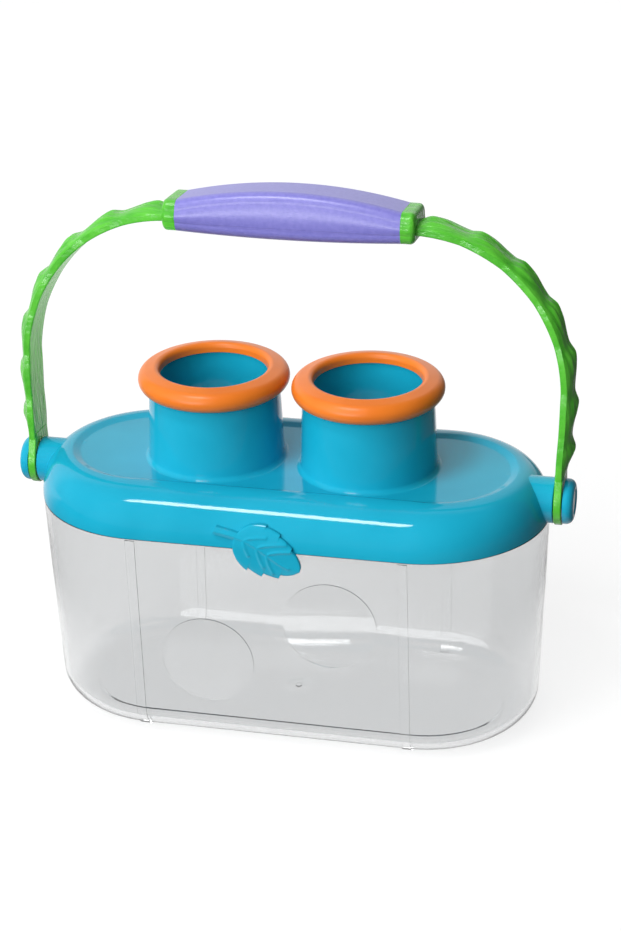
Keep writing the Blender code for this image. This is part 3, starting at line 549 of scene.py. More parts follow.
def add_bumps(tree, shader, *layers):
    """Stack bumps of (grain, strength, depth in metres)."""
    below = {}
    for grain, strength, depth in layers:
        inputs = {"Height": noise(tree, *grain), "Strength": strength, "Distance": depth}
        bump = new_node(tree, "ShaderNodeBump", inputs | below)
        below = {"Normal": bump.outputs["Normal"]}
    tree.links.new(below["Normal"], shader.inputs["Normal"])


def clear_material(name, tint, roughness, ripple):
    """Clear moulded plastic with faint flow ripples and fine handling marks."""
    material, tree, shader = new_material(name)
    shader.inputs["Base Color"].default_value = (*tint, 1.0)
    shader.inputs["Transmission Weight"].default_value = 1.0
    shader.inputs["IOR"].default_value = PLASTIC_IOR
    vary_roughness(tree, shader, HANDLING_MARKS, *roughness)
    add_bumps(tree, shader, (FLOW_LINES, ripple, FLOW_DEPTH))
    return material


def opaque_material(name, colours, drift, roughness, marks, bumps, specular=0.5, metallic=0.0):
    """An opaque material: its colour drifts by one grain, its roughness by another."""
    material, tree, shader = new_material(name)
    vary_colour(tree, shader, drift, colours)
    vary_roughness(tree, shader, marks, *roughness)
    shader.inputs["Specular IOR Level"].default_value = specular
    shader.inputs["Metallic"].default_value = metallic
    add_bumps(tree, shader, *bumps)
    return material


def turquoise_material():
    """Glossy moulded plastic with the slight orange peel of a polished tool."""
    return opaque_material("turquoise_gloss", TURQUOISE_COLOURS, drift=(35.0, 3.0), marks=(260.0, 4.0),
                           roughness=(0.04, 0.08), specular=0.30, bumps=[((420.0, 2.0), 0.05, 0.0002)])


def rubber_material():
    """Soft satin rubber with a fine even grain."""
    return opaque_material("orange_soft", ORANGE_COLOURS, drift=(60.0, 3.0), marks=(500.0, 3.0),
                           roughness=(0.28, 0.38), specular=0.45, bumps=[((2200.0, 2.0), 0.10, 0.0001)])


def green_material():
    """Satin moulded plastic with the streaks of the leaf carving, which run along the arms."""
    streaks = (130.0, 4.0, (1.0, 5.0, 1.0))
    return opaque_material("green_satin", GREEN_COLOURS, drift=streaks, marks=(420.0, 3.0),
                           roughness=(0.18, 0.28),
                           bumps=[(streaks, 0.6, 0.0010), ((900.0, 3.0), 0.12, 0.0002)])


def purple_material():
    """Spark grained plastic: the grain breaks its highlight into fine glints."""
    return opaque_material("purple_grain", PURPLE_COLOURS, drift=(700.0, 4.0), marks=(1300.0, 2.0),
                           roughness=(0.26, 0.36), specular=0.80, bumps=[((2200.0, 3.0), 0.30, 0.0001)])


def steel_material():
    """Plated steel with fine turning marks."""
    return opaque_material("screw_plating", STEEL_COLOURS, drift=(900.0, 2.0), marks=(1600.0, 3.0),
                           roughness=(0.24, 0.40), metallic=1.0, bumps=[((2600.0, 2.0), 0.12, 0.0001)])


# Tub

def tub_radius(height):
    """Distance of the tub's outer wall from the spine: it leans in towards the table."""
    return TUB_TOP_RADIUS - TUB_TAPER * (1 - height / TUB_HEIGHT)


def cavity_radius(rise, outset=0.0):
    """Distance from the spine to the lid's inner wall, or a surface set out from it, at a rise."""
    above = max(rise - EDGE_START, 0.0)
    return CREST_RADIUS + sqrt((CAVITY_EDGE_RADIUS + outset) ** 2 - above ** 2)


def bottom_corner():
    """Centre of the rounding between the tub's wall and its underside."""
    return tub_radius(TUB_BOTTOM_RADIUS) - TUB_BOTTOM_RADIUS, TUB_BOTTOM_RADIUS


def tub_profile():
    """Section of the tub: up the outside to the neck, then down the inside to the eased floor panel."""
    corner = bottom_corner()
    inner_radius = TUB_BOTTOM_RADIUS - TUB_WALL
    inner_corner = (corner[0], TUB_FLOOR + inner_radius)
    panel = corner[0] - FLOOR_PANEL_INSET
    panel_top = TUB_FLOOR + FLOOR_PANEL_RISE
    shoulder_inner = TUB_HEIGHT - SOFT_EDGE
    neck = []
    for i in range(SOFT_STEPS + 1):
        rise = NECK_HEIGHT * i / SOFT_STEPS
        neck.append((cavity_radius(rise - FIT_GAP) - FIT_GAP, TUB_HEIGHT + rise))
    outside = [(0, 0)] + arc(corner, TUB_BOTTOM_RADIUS, -SQUARE_TURN, 0)
    outside += [(TUB_TOP_RADIUS, TUB_HEIGHT)] + neck
    inside = [(neck[-1][0] - NECK_WALL, neck[-1][1]), (neck[0][0] - NECK_WALL, shoulder_inner)]
    inside += [(tub_radius(shoulder_inner) - TUB_WALL, shoulder_inner)]
    inside += arc(inner_corner, inner_radius, 0, -SQUARE_TURN)
    for i in range(SOFT_STEPS + 1):
        share = i / SOFT_STEPS
        inside.append((panel - PANEL_EASE * share, TUB_FLOOR + FLOOR_PANEL_RISE * ease(share)))
    inside.append((0, panel_top))
    return soften(outside + inside)


def mould_band(x, turn):
    """A fine raised band that follows the outer wall from the shoulder round the bottom corner."""
    centre = bottom_corner()
    top = TUB_HEIGHT - SOFT_EDGE
    sunk = TUB_WALL / 2
    outer = [(tub_radius(top) + BAND_HEIGHT, top)]
    outer += arc(centre, TUB_BOTTOM_RADIUS + BAND_HEIGHT, 0, -BAND_FOOT_ANGLE)
    inner = arc(centre, TUB_BOTTOM_RADIUS - sunk, -BAND_FOOT_ANGLE, 0)
    inner += [(tub_radius(top) - sunk, top)]
    upright = Matrix.Rotation(turn, 4, "Z") @ Matrix.Rotation(SQUARE_TURN, 4, "X")
    return plate("mould_band", outer + inner, BAND_WIDTH, Matrix.Translation((x, 0, 0)) @ upright)


def lens_bulge(x, height, rise):
    """A shallow magnifying dome on the front wall, on a short foot that sinks into it."""
    sunk = TUB_WALL / 2
    dome = [(out, BULGE_STEP + up) for out, up in dome_line(BULGE_RADIUS, rise)]
    lean = TUB_TAPER / TUB_HEIGHT
    lie = Matrix.Translation((x, -tub_radius(height), height)) @ Matrix.Rotation(SQUARE_TURN + lean, 4, "X")
    return turned("wall_lens", dome + [(BULGE_RADIUS, -sunk), (0, -sunk)], PIN_STEPS, lie)


def gate_mark():
    """The sloped ring that is cut round the nub where the plastic was fed in."""
    floor_top = TUB_FLOOR + FLOOR_PANEL_RISE
    moat = [(GATE_NUB_RADIUS, floor_top + OVERRUN), (GATE_RADIUS, floor_top + OVERRUN),
            (GATE_RADIUS, floor_top), (GATE_RADIUS - GATE_SLOPE * GATE_DEPTH, floor_top - GATE_DEPTH),
            (GATE_NUB_RADIUS, floor_top - GATE_DEPTH)]
    return turned("gate_mark", moat, PIN_STEPS, closed=True)


def build_tub(material):
    """The clear tub with its mould bands, front bulges and gate mark."""
    tub = stadium_sweep("clear_tub", tub_profile())
    steps = []
    for x in (-STRAIGHT_HALF, STRAIGHT_HALF):
        for turn in (-SQUARE_TURN, SQUARE_TURN):
            steps.append((mould_band(x, turn), "UNION"))
    steps.append((lens_bulge(-BULGE_OFFSET, BULGE_LEFT_HEIGHT, BULGE_LEFT_RISE), "UNION"))
    steps.append((lens_bulge(BULGE_OFFSET, BULGE_RIGHT_HEIGHT, BULGE_RIGHT_RISE), "UNION"))
    steps.append((gate_mark(), "DIFFERENCE"))
    combine(tub, *steps)
    finish_piece(tub, material, "tub", "clear_plastic", "tub")


# Lid

def inner_edge(outset):
    """Inside of the lid's edge from the skirt up to the ceiling, or a line set out into its wall."""
    top = CEILING + outset - EDGE_START
    points = []
    for i in range(CORNER_STEPS + 1):
        rise = EDGE_START + top * (1 - (1 - i / CORNER_STEPS) ** 2)
        points.append((cavity_radius(rise, outset), rise))
    return points


def lid_profile():
    """Section of the lid: sunk panel, crest, rounded edge and skirt, then back along the inside."""
    edge = arc((CREST_RADIUS, EDGE_START), LID_EDGE_RADIUS, SQUARE_TURN, 0, EDGE_STEPS)
    panel = [(0, PANEL_TOP), (CREST_RADIUS - PANEL_SLOPE, PANEL_TOP)]
    skirt = [(LID_RADIUS, -SKIRT_DROP), (SKIRT_INNER, -SKIRT_DROP)]
    return soften(panel + edge + skirt + inner_edge(0.0) + [(0, CEILING)])


def boss_cuts():
    """What is cut from a boss: the room of the tub, and the lid's inside up to the middle of its wall."""
    below = -BOSS_RADIUS
    above = OVERRUN / 2
    middle = inner_edge(LID_WALL / 2)
    room = [(0, below), (TUB_CLEAR_RADIUS, below), (TUB_CLEAR_RADIUS, above), (0, above)]
    inside = [(0, below), (middle[0][0], below)] + middle + [(0, middle[-1][1])]
    return [(stadium_sweep("tub_room", room, LID_PLACE), "DIFFERENCE"),
            (stadium_sweep("wall_middle", inside, LID_PLACE, stretched=True), "DIFFERENCE")]


def tube_profile():
    """Outside of an eyepiece tube, flared to a fillet where it meets the lid's panel."""
    foot = TUBE_RADIUS + TUBE_FLARE
    size = min(TUBE_FILLET, EYE_SPACING / 2 - foot - FIT_GAP)
    fillet = arc((foot + size, PANEL_TOP - FILLET_SINK + size), size, pi, 3 * SQUARE_TURN)
    sunk = PANEL_TOP - LID_WALL / 2
    return [(0, TUBE_TOP), (TUBE_RADIUS, TUBE_TOP)] + fillet + [(foot + size, sunk), (0, sunk)]


def bore_profile():
    """Stepped bore of a tube: eye well, lens ledge, then the seat of the lens and its ring."""
    ledge_top = LENS_SEAT + LENS_LEDGE
    seat = RING_SEAT_RADIUS
    return [(0, TUBE_TOP + OVERRUN), (TUBE_BORE, TUBE_TOP + OVERRUN), (TUBE_BORE, ledge_top),
            (LENS_HOLE_RADIUS, ledge_top), (LENS_HOLE_RADIUS, LENS_SEAT), (seat, LENS_SEAT),
            (seat, CEILING - OVERRUN), (0, CEILING - OVERRUN)]


def build_lid(material):
    """The lid with its two bored tubes and pivot bosses."""
    lid = stadium_sweep("lid_moulding", lid_profile(), LID_PLACE, stretched=True)
    boss_start = STRAIGHT_HALF + CREST_RADIUS
    boss_length = BOSS_FACE - boss_start
    steps = []
    for side in (-1, 1):
        eye = LID_PLACE @ Matrix.Translation((side * EYE_SPACING / 2, 0, 0))
        pivot = LID_PLACE @ Matrix.Translation((side * boss_start, 0, PIVOT_RISE)) @ turn_out(side)
        round_edge = soften([(0, boss_length), (BOSS_RADIUS, boss_length), (BOSS_RADIUS, 0), (0, 0)])
        boss = turned("boss", round_edge, PIN_STEPS, pivot)
        combine(boss, *boss_cuts())
        half_step = Matrix.Rotation(pi / TURN_STEPS, 4, "Z")
        hole = rod("boss_bore", PIN_BORE, boss_length + OVERRUN, pivot)
        tube = turned("tube", tube_profile(), TURN_STEPS, eye)
        bore = turned("tube_bore", bore_profile(), TURN_STEPS, eye @ half_step)
        steps += [(tube, "UNION"), (boss, "UNION"), (bore, "DIFFERENCE"), (hole, "DIFFERENCE")]
    combine(lid, *steps)
    finish_piece(lid, material, "lid", "turquoise_plastic", "lid")


def tab_fade(share):
    """1 along the leaf, and down to nothing at its tip."""
    return min(1.0, TAB_TIP_TAPER * (1 - share))


def tab_half_width(share, tooth_depth):
    """Half width of the leaf at a share of its length, with teeth that grow towards its tip."""
    if not 0 < share < 1:
        return 0.0
    smooth = TAB_HALF_WIDTH * sin(pi * share ** TAB_BELLY) ** TAB_FULLNESS
    spaces = TAB_TEETH + TAB_TOOTH_START
    place = share * spaces - TAB_TOOTH_START
    tooth = tooth_depth * (TAB_TOOTH_BASE + share) * tab_fade(share)
    if place < 0:
        return smooth + tooth / 2 * share * spaces / TAB_TOOTH_START
    return smooth + tooth * (place % 1.0 - 0.5)


def tab_rib(share):
    """How far the stem and the midrib sway off the leaf's axis, at a share of its length."""
    return TAB_RIB_SWAY * cos(2 * pi * (share - TAB_RIB_CREST) / TAB_RIB_WAVE)


def tab_edges(share):
    """Lower and upper edge of the leaf, or of its stem."""
    stem = TAB_STEM_WIDTH / 2 * tab_fade(share)
    low = min(-tab_half_width(share, TAB_LOWER_TOOTH), tab_rib(share) - stem)
    high = max(tab_half_width(share, TAB_UPPER_TOOTH), tab_rib(share) + stem)
    return low, high


def tab_veins():
    """The straight pieces of the leaf's midrib and side veins, as pairs of points."""
    midrib = []
    start = -TAB_STEM_LENGTH / TAB_LENGTH
    for i in range(TAB_RIB_STEPS + 1):
        share = start + (TAB_RIB_END - start) * i / TAB_RIB_STEPS
        midrib.append(Vector((share * TAB_LENGTH, tab_rib(share))))
    lines = [midrib]
    for root in TAB_VEIN_ROOTS:
        reach = TAB_VEIN_REACH * tab_half_width(root, 0.0)
        for side, slant in ((1, TAB_UPPER_SLANT), (-1, TAB_LOWER_SLANT)):
            line = []
            for i in range(TAB_VEIN_STEPS + 1):
                out = i / TAB_VEIN_STEPS
                along = root * TAB_LENGTH + slant * reach * out ** TAB_VEIN_CURL
                line.append(Vector((along, tab_rib(root) + side * reach * out)))
            lines.append(line)
    return [piece for line in lines for piece in zip(line, line[1:])]


def tab_relief(spot, edge, veins):
    """Height of the leaf's face: a low dome with rounded edges, a midrib and side veins."""
    nearest = inf
    for start, end in veins:
        line = end - start
        share = min(max((spot - start).dot(line) / line.length_squared, 0.0), 1.0)
        nearest = min(nearest, (spot - start - line * share).length)
    ridge = TAB_VEIN_RISE * exp(-(nearest / TAB_VEIN_WIDTH) ** 2)
    return TAB_DOME * (1 - edge ** 2) - SOFT_EDGE * exp((edge - 1) / TAB_EDGE_SHARE) + ridge


def tab_row(along, veins):
    """A row of points across the leaf: its relief, bent over the lid's edge, and its sunk back."""
    low, high = tab_edges(along / TAB_LENGTH)
    face_row = []
    back_row = []
    for j in range(TAB_COLUMNS + 1):
        share = j / TAB_COLUMNS
        spot = Vector((along, low + (high - low) * share))
        flat = Matrix.Rotation(TAB_TURN, 2) @ spot
        x = TAB_BASE_X + flat.x
        z = TAB_BASE_RISE + flat.y
        back = TUB_CLEAR_RADIUS
        if z > OVERRUN / 2:
            back = cavity_radius(min(z, CEILING), LID_WALL / 2)
        front = cavity_radius(z, LID_WALL + TAB_PROUD) + tab_relief(spot, abs(2 * share - 1), veins)
        face_row.append((x, -front, z))
        back_row.append((x, -back, z))
    return face_row + back_row[::-1]


def build_leaf_tab(material):
    """Toothed leaf on the lid's front: its back is sunk in the skirt, and hangs clear of the tub."""
    veins = tab_veins()
    rows = []
    for i in range(TAB_STATIONS + 1):
        along = -TAB_STEM_LENGTH + (TAB_LENGTH + TAB_STEM_LENGTH) * i / TAB_STATIONS
        rows.append(tab_row(along, veins))
    leaf = loft("leaf_tab", rows, LID_PLACE)
    finish_piece(leaf, material, "lid", "turquoise_plastic")


# Eyepieces and pins

def cup_profile():
    """Eyecup: a round bead and a smaller lip inside its top, with the underside cut away for the tube."""
    seat = TUBE_TOP + FIT_GAP
    slot_outer = TUBE_RADIUS + FIT_GAP
    bead = (CUP_RADIUS, TUBE_TOP - CUP_DROP)
    lip = (bead[0] - CUP_LIP_INSET, bead[1] + CUP_LIP_RISE)
    apart = hypot(CUP_LIP_INSET, CUP_LIP_RISE)
    meet = acos((CUP_LIP_RADIUS - CUP_BEAD_RADIUS) / apart) - atan2(CUP_LIP_RISE, CUP_LIP_INSET)
    end = -acos((slot_outer - CUP_RADIUS) / CUP_BEAD_RADIUS)
    rim = arc(lip, CUP_LIP_RADIUS, pi, meet)
    rim += arc(bead, CUP_BEAD_RADIUS, meet, end, CUP_STEPS)
    return [(lip[0] - CUP_LIP_RADIUS, seat)] + rim + [(slot_outer, seat)]


def lens_profile():
    """Double convex lens with a flat flange."""
    upper = [(out, LENS_EDGE + up) for out, up in dome_line(LENS_HOLE_RADIUS - FIT_GAP, LENS_CROWN)]
    upper.append((LENS_RADIUS, LENS_EDGE))
    lower = [(out, LENS_EDGE - up) for out, up in reversed(upper)]
    return upper + lower


def pin_profile():
    """Pivot pin: rounded head with a shallow dish, and a shank that reaches through the lid's wall."""
    top = HEAD_INNER + PIN_HEAD_HEIGHT
    corner = (PIN_HEAD_RADIUS - PIN_HEAD_ROUNDING, top - PIN_HEAD_ROUNDING)
    tip = STRAIGHT_HALF + cavity_radius(PIVOT_RISE) - PIN_REACH
    head = [(0, top - PIN_DISH_DEPTH), (PIN_DISH_RADIUS, top - PIN_DISH_DEPTH)]
    head += [(PIN_DISH_RADIUS + PIN_DISH_DEPTH / 2, top)]
    head += arc(corner, PIN_HEAD_ROUNDING, SQUARE_TURN, 0)
    head += [(PIN_HEAD_RADIUS, HEAD_INNER), (PIN_RADIUS, HEAD_INNER)]
    shank = [(PIN_RADIUS, tip + PIN_CHAMFER), (PIN_RADIUS - PIN_CHAMFER, tip), (0, tip)]
    return soften(head + shank, SOFT_EDGE / 2)


def build_eyepieces(rubber, glass, turquoise):
    """Both eyecups, lenses and pivot pins."""
    for end, side in (("left", -1), ("right", 1)):
        eye = LID_PLACE @ Matrix.Translation((side * EYE_SPACING / 2, 0, 0))
        rim = turned(f"eyecup_rim_{end}", cup_profile(), TURN_STEPS, eye, closed=True)
        finish_piece(rim, rubber, "lid", "orange_rubber", f"eyecup_{end}")
        lens = turned(f"lens_disc_{end}", lens_profile(), TURN_STEPS,
                      eye @ Matrix.Translation((0, 0, LENS_BOTTOM)))
        finish_piece(lens, glass, "lid", "lens_plastic", f"lens_{end}")
        pivot = LID_PLACE @ Matrix.Translation((0, 0, PIVOT_RISE)) @ turn_out(side)
        cap = turned(f"pivot_cap_{end}", pin_profile(), PIN_STEPS, pivot)
        finish_piece(cap, turquoise, "lid", "turquoise_plastic", f"pivot_pin_{end}")


# Handle

def arm_path():
    """Inner line of the right arm in (x, z), from the grip's end down to the eyelet's neck."""
    top = Vector((BLOCK_OUTER - OVERRUN, 0, ARCH_TOP))
    spring = Vector((ARCH_HALF_WIDTH, 0, ARCH_FOOT))
    foot = Vector((EYELET_INNER + FIT_GAP / 2, 0, VINE_END))
    reach = ARCH_HALF_WIDTH - top.x
    rise = ARCH_TOP - ARCH_FOOT
    drop = ARCH_FOOT - VINE_END
    line = interpolate_bezier(top, top + Vector((QUARTER_BOW * reach, 0, 0)),
                              spring + Vector((0, 0, QUARTER_BOW * rise)), spring, ARCH_STEPS)
    line += interpolate_bezier(spring, spring - Vector((0, 0, SPRING_PULL * drop)),
                               foot + Vector((0, 0, FOOT_PULL * drop)), foot, FOOT_STEPS)[1:]
    return line


def spaced(line, count):
    """Points and directions at even lengths along a line of points."""
    lengths = [0.0]
    for near, far in zip(line, line[1:]):
        lengths.append(lengths[-1] + (far - near).length)
    found = []
    for i in range(count + 1):
        along = lengths[-1] * i / count
        piece = min(bisect_left(lengths, along, 1) - 1, len(line) - 2)
        step = line[piece + 1] - line[piece]
        found.append((line[piece] + step * ((along - lengths[piece]) / step.length), step.normalized()))
    return found


def vine_height(place_along, across):
    """Relief of the leaves: each stands proud at its tip, towards the grip, and sinks towards the pivot."""
    phase = (place_along - VINE_SWEEP * across ** 2) % 1.0
    if phase < VINE_TIP_SHARE:
        lift = ease(phase / VINE_TIP_SHARE)
    else:
        lift = 1 - ease((phase - VINE_TIP_SHARE) / (1 - VINE_TIP_SHARE))
    rib = VINE_RIB * exp(-(across / VINE_RIB_WIDTH) ** 2)
    vein = VINE_VEIN * cos(2 * pi * (VINE_VEINS * abs(across) + VINE_FAN * phase))
    return VINE_BASE + VINE_RISE * lift * (1 - VINE_CROWN * across ** 2) - rib + vein * lift


def arm_section(point, direction, leaf_count):
    """Section of the arm: a band with rounded inner edges, domed outside by the leaves."""
    outward = Vector((-direction.z, 0, direction.x))
    half = ARM_WIDTH / 2 - VINE_SPREAD + VINE_SPREAD * sin(pi * (leaf_count % 1.0))
    fade = min(1.0, (VINE_LEAVES - leaf_count) / VINE_FADE)
    left = arc((-half + ARM_EDGE, ARM_EDGE), ARM_EDGE, 3 * SQUARE_TURN, pi, SOFT_STEPS)
    face = []
    for j in range(LEAF_COLUMNS + 1):
        across = -cos(pi * j / LEAF_COLUMNS)
        rise = (ARM_EDGE + fade * vine_height(leaf_count, across)) * (1 - abs(across) ** VINE_DOME)
        face.append((across * half, ARM_THICKNESS - ARM_EDGE + rise))
    right = [(-across, out) for across, out in reversed(left)]
    return [point + Vector((0, across, 0)) + outward * out for across, out in left + face + right]


def build_arm(side):
    """One leaf-covered arm, lofted from the grip's end down to the eyelet."""
    stations = VINE_LEAVES * LEAF_STEPS
    rings = []
    for i, (point, direction) in enumerate(spaced(arm_path(), stations)):
        ring = arm_section(point, direction, VINE_LEAVES * i / stations)
        rings.append([Vector((side * p.x, p.y, p.z)) for p in ring])
    return loft("arm", rings, HANDLE_PLACE)


def eyelet_outline():
    """Eyelet in (y, z): a round end about the pivot, with straight sides that run up into the arm."""
    half = ARM_WIDTH / 2 - VINE_SPREAD - ARM_EDGE
    neck_top = VINE_END + EYELET_THICKNESS
    touch = atan2(neck_top, half) - acos(EYELET_RADIUS / hypot(half, neck_top))
    round_end = arc((0, 0), EYELET_RADIUS, pi - touch, 2 * pi + touch, PIN_STEPS)
    return round_end + [(half, neck_top), (-half, neck_top)]


def end_block(side):
    """Block at the end of the grip: the grip's own end section, carried on and rounded off."""
    section = grip_section(GRIP_LENGTH / 2)
    middle = GRIP_BOTTOM + GRIP_END_HEIGHT / 2
    rings = [(BLOCK_INNER, 0.0)]
    for i in range(BLOCK_STEPS + 1):
        turn = SQUARE_TURN * i / BLOCK_STEPS
        rings.append((BLOCK_OUTER - BLOCK_ROUNDING * (1 - sin(turn)), BLOCK_ROUNDING * (1 - cos(turn))))
    loops = []
    for x, inset in rings:
        across = 1 - 2 * inset / GRIP_WIDTH
        upright = 1 - 2 * inset / GRIP_END_HEIGHT
        loops.append([Vector((side * x, p.y * across, middle + (p.z - middle) * upright)) for p in section])
    return loft("end_block", loops, HANDLE_PLACE)


def build_handle(material):
    """The one-piece bail: core bar, end blocks, arms and bored eyelets."""
    core_half = GRIP_LENGTH / 2 + OVERRUN
    handle = box("leaf_handle", (-core_half, -CORE_WIDTH / 2, CORE_BOTTOM),
                 (core_half, CORE_WIDTH / 2, CORE_BOTTOM + CORE_HEIGHT), HANDLE_PLACE)
    steps = []
    for side in (-1, 1):
        middle = side * (EYELET_INNER + EYELET_OUTER) / 2
        lie = Matrix.Rotation(SQUARE_TURN, 4, "Z") @ Matrix.Rotation(SQUARE_TURN, 4, "X")
        eyelet = plate("eyelet", eyelet_outline(), EYELET_THICKNESS,
                       HANDLE_PLACE @ Matrix.Translation((middle, 0, 0)) @ lie, SOFT_EDGE)
        bore = HANDLE_PLACE @ Matrix.Translation((side * (EYELET_INNER - OVERRUN), 0, 0)) @ turn_out(side)
        drill = HANDLE_PLACE @ Matrix.Translation((side * SCREW_OFFSET, 0, CORE_BOTTOM - OVERRUN))
        pin_hole = rod("eyelet_bore", PIN_BORE, EYELET_THICKNESS + 2 * OVERRUN, bore)
        screw_hole = rod("core_hole", SCREW_RADIUS + FIT_GAP, CORE_HEIGHT + 2 * OVERRUN, drill)
        steps += [(end_block(side), "UNION"), (build_arm(side), "UNION"), (eyelet, "UNION"),
                  (pin_hole, "DIFFERENCE"), (screw_hole, "DIFFERENCE")]
    combine(handle, *steps)
    finish_piece(handle, material, "handle", "green_plastic", "handle")


# Grip

def grip_swell(x):
    """How far the grip has swelled at x: nothing at its ends, 1 in its middle."""
    return 1 - (2 * x / GRIP_LENGTH) ** 2


def grip_floor(x):
    """Height of the grip's underside at x, which sags a little in its middle."""
    return GRIP_BOTTOM - GRIP_SAG * grip_swell(x)


def grip_section(x):
    """Section of the whole grip at x: arched along its top, nearly flat below, with a slight belly."""
    top = GRIP_BOTTOM + GRIP_END_HEIGHT + (GRIP_MID_HEIGHT - GRIP_END_HEIGHT) * grip_swell(x)
    half = GRIP_WIDTH / 2 - GRIP_BELLY
    low = grip_floor(x)
    middle = (low + top) / 2
    shoulder = top - GRIP_ROUNDING - middle
    quarter = []
    for i in range(CORNER_STEPS):
        share = i / CORNER_STEPS
        quarter.append((half + GRIP_BELLY * (1 - share ** 2), share * shoulder))
    quarter += arc((half - GRIP_ROUNDING, shoulder), GRIP_ROUNDING, 0, SQUARE_TURN)
    ring = quarter + [(-y, z) for y, z in reversed(quarter)]
    flip = (middle - low) / (top - middle)
    ring += [(-y, -z * flip) for y, z in quarter[1:]] + [(y, -z * flip) for y, z in reversed(quarter[1:])]
    return [Vector((x, y, middle + z)) for y, z in ring]


def grip_shell(name, keep_above):
    """One of the grip's two shells: the whole grip cut at the parting plane."""
    half = GRIP_LENGTH / 2
    whole = loft(name, [grip_section(half * (2 * i / GRIP_STEPS - 1)) for i in range(GRIP_STEPS + 1)])
    shift = GRIP_SEAM / 2 if keep_above else -GRIP_SEAM / 2
    bm = bmesh.new()
    bm.from_mesh(whole.data)
    cut = bmesh.ops.bisect_plane(
        bm, geom=bm.verts[:] + bm.edges[:] + bm.faces[:], plane_co=(0, 0, GRIP_SPLIT + shift),
        plane_no=(0, 0, 1), clear_inner=keep_above, clear_outer=not keep_above)
    bmesh.ops.edgeloop_fill(bm, edges=only(bmesh.types.BMEdge, cut["geom_cut"]))
    bmesh.ops.recalc_face_normals(bm, faces=bm.faces)
    bmesh.ops.transform(bm, matrix=HANDLE_PLACE, verts=bm.verts)
    bm.to_mesh(whole.data)
    bm.free()
    return whole


def grip_cuts(lower):
    """What is cut from a grip shell: the core bar's channel, the pilot holes and the head pockets."""
    gap = FIT_GAP
    reach = GRIP_LENGTH / 2 + OVERRUN
    head_face = grip_floor(SCREW_OFFSET) + gap
    tip = CORE_BOTTOM + CORE_HEIGHT + SCREW_BITE
    cuts = [box("core_channel", (-reach, -CORE_WIDTH / 2 - gap, CORE_BOTTOM - gap),
                (reach, CORE_WIDTH / 2 + gap, CORE_BOTTOM + CORE_HEIGHT + gap), HANDLE_PLACE)]
    for side in (-1, 1):
        stand = HANDLE_PLACE @ Matrix.Translation((side * SCREW_OFFSET, 0, head_face))
        cuts.append(rod("pilot_hole", SCREW_RADIUS + gap, tip + gap - head_face, stand))
        if lower:
            below = stand @ Matrix.Translation((0, 0, -OVERRUN))
            depth = SCREW_HEAD_HEIGHT + gap + OVERRUN
            cuts.append(rod("head_pocket", SCREW_HEAD_RADIUS + gap, depth, below))
    return [(cut, "DIFFERENCE") for cut in cuts]


def build_grip(material):
    """The grip's upper and lower shell."""
    upper = combine(grip_shell("grip_top_shell", True), *grip_cuts(False))
    finish_piece(upper, material, "handle", "purple_plastic", "grip_upper")
    lower = combine(grip_shell("grip_base_shell", False), *grip_cuts(True))
    finish_piece(lower, material, "handle", "purple_plastic", "grip_lower")


# Solids that stay

def dress_nodes(material, *names):
    """Give solids that no piece replaces a finished material."""
    for name in names:
        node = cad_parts[name]
        if not node.material_slots:
            node.data.materials.append(material)
        for place in node.material_slots:
            place.material = material


# Stage

def work_out(tree, operation, first, second):
    """One value worked out from two others."""
    node = new_node(tree, "ShaderNodeMath", {0: first, 1: second})
    node.operation = operation
    return node.outputs["Value"]


def any_ray(tree, *names):
    """1 for rays of any of the named kinds."""
    path = tree.nodes.new("ShaderNodeLightPath")
    total = path.outputs[names[0]]
    for name in names[1:]:
        total = work_out(tree, "MAXIMUM", total, path.outputs[name])
    return total


def spread(tree, source, span, levels):
    """Carry a value smoothly from one level to another over a span."""
    ramp = new_node(tree, "ShaderNodeMapRange", {
        "Value": source, "From Min": span[0], "From Max": span[1],
        "To Min": levels[0], "To Max": levels[1]})
    ramp.interpolation_type = "SMOOTHSTEP"
    return ramp.outputs["Result"]


def split_place(tree, where):
    """The X, Y and Z of a place or a direction."""
    return new_node(tree, "ShaderNodeSeparateXYZ", {"Vector": where}).outputs


def mix_shaders(tree, share, first, second, output):
    """Show the second shader by a share, and the first by the rest."""
    mix = new_node(tree, "ShaderNodeMixShader", {"Fac": share, 1: first, 2: second})
    tree.links.new(mix.outputs["Shader"], output.inputs["Surface"])


def grey_matt(tree, level):
    """A matt grey shader."""
    return new_node(tree, "ShaderNodeBsdfDiffuse", {"Color": (level, level, level, 1.0)}).outputs["BSDF"]


def white_light(tree, level):
    """A white background of a given level."""
    lit = new_node(tree, "ShaderNodeBackground", {"Color": WHITE, "Strength": level})
    return lit.outputs["Background"]


def build_world():
    """White where it is seen; the object is lit and mirrored by a white backdrop and a dimmer room."""
    world = bpy.data.worlds.new("studio")
    world.use_nodes = True
    bpy.context.scene.world = world
    tree = world.node_tree
    tree.nodes.clear()
    side = split_place(tree, tree.nodes.new("ShaderNodeTexCoord").outputs["Generated"])
    backdrop = work_out(tree, "MULTIPLY", spread(tree, side["Y"], WORLD_BACK_SPAN, FADE_IN),
                        spread(tree, side["X"], WORLD_SIDE_SPAN, WORLD_SIDE_LEVELS))
    room = spread(tree, side["X"], ROOM_SPAN, ROOM_LEVELS)
    studio = white_light(tree, work_out(tree, "MAXIMUM", backdrop, room))
    seen = any_ray(tree, "Is Camera Ray", "Is Transmission Ray")
    mix_shaders(tree, seen, studio, white_light(tree, 1.0), tree.nodes.new("ShaderNodeOutputWorld"))


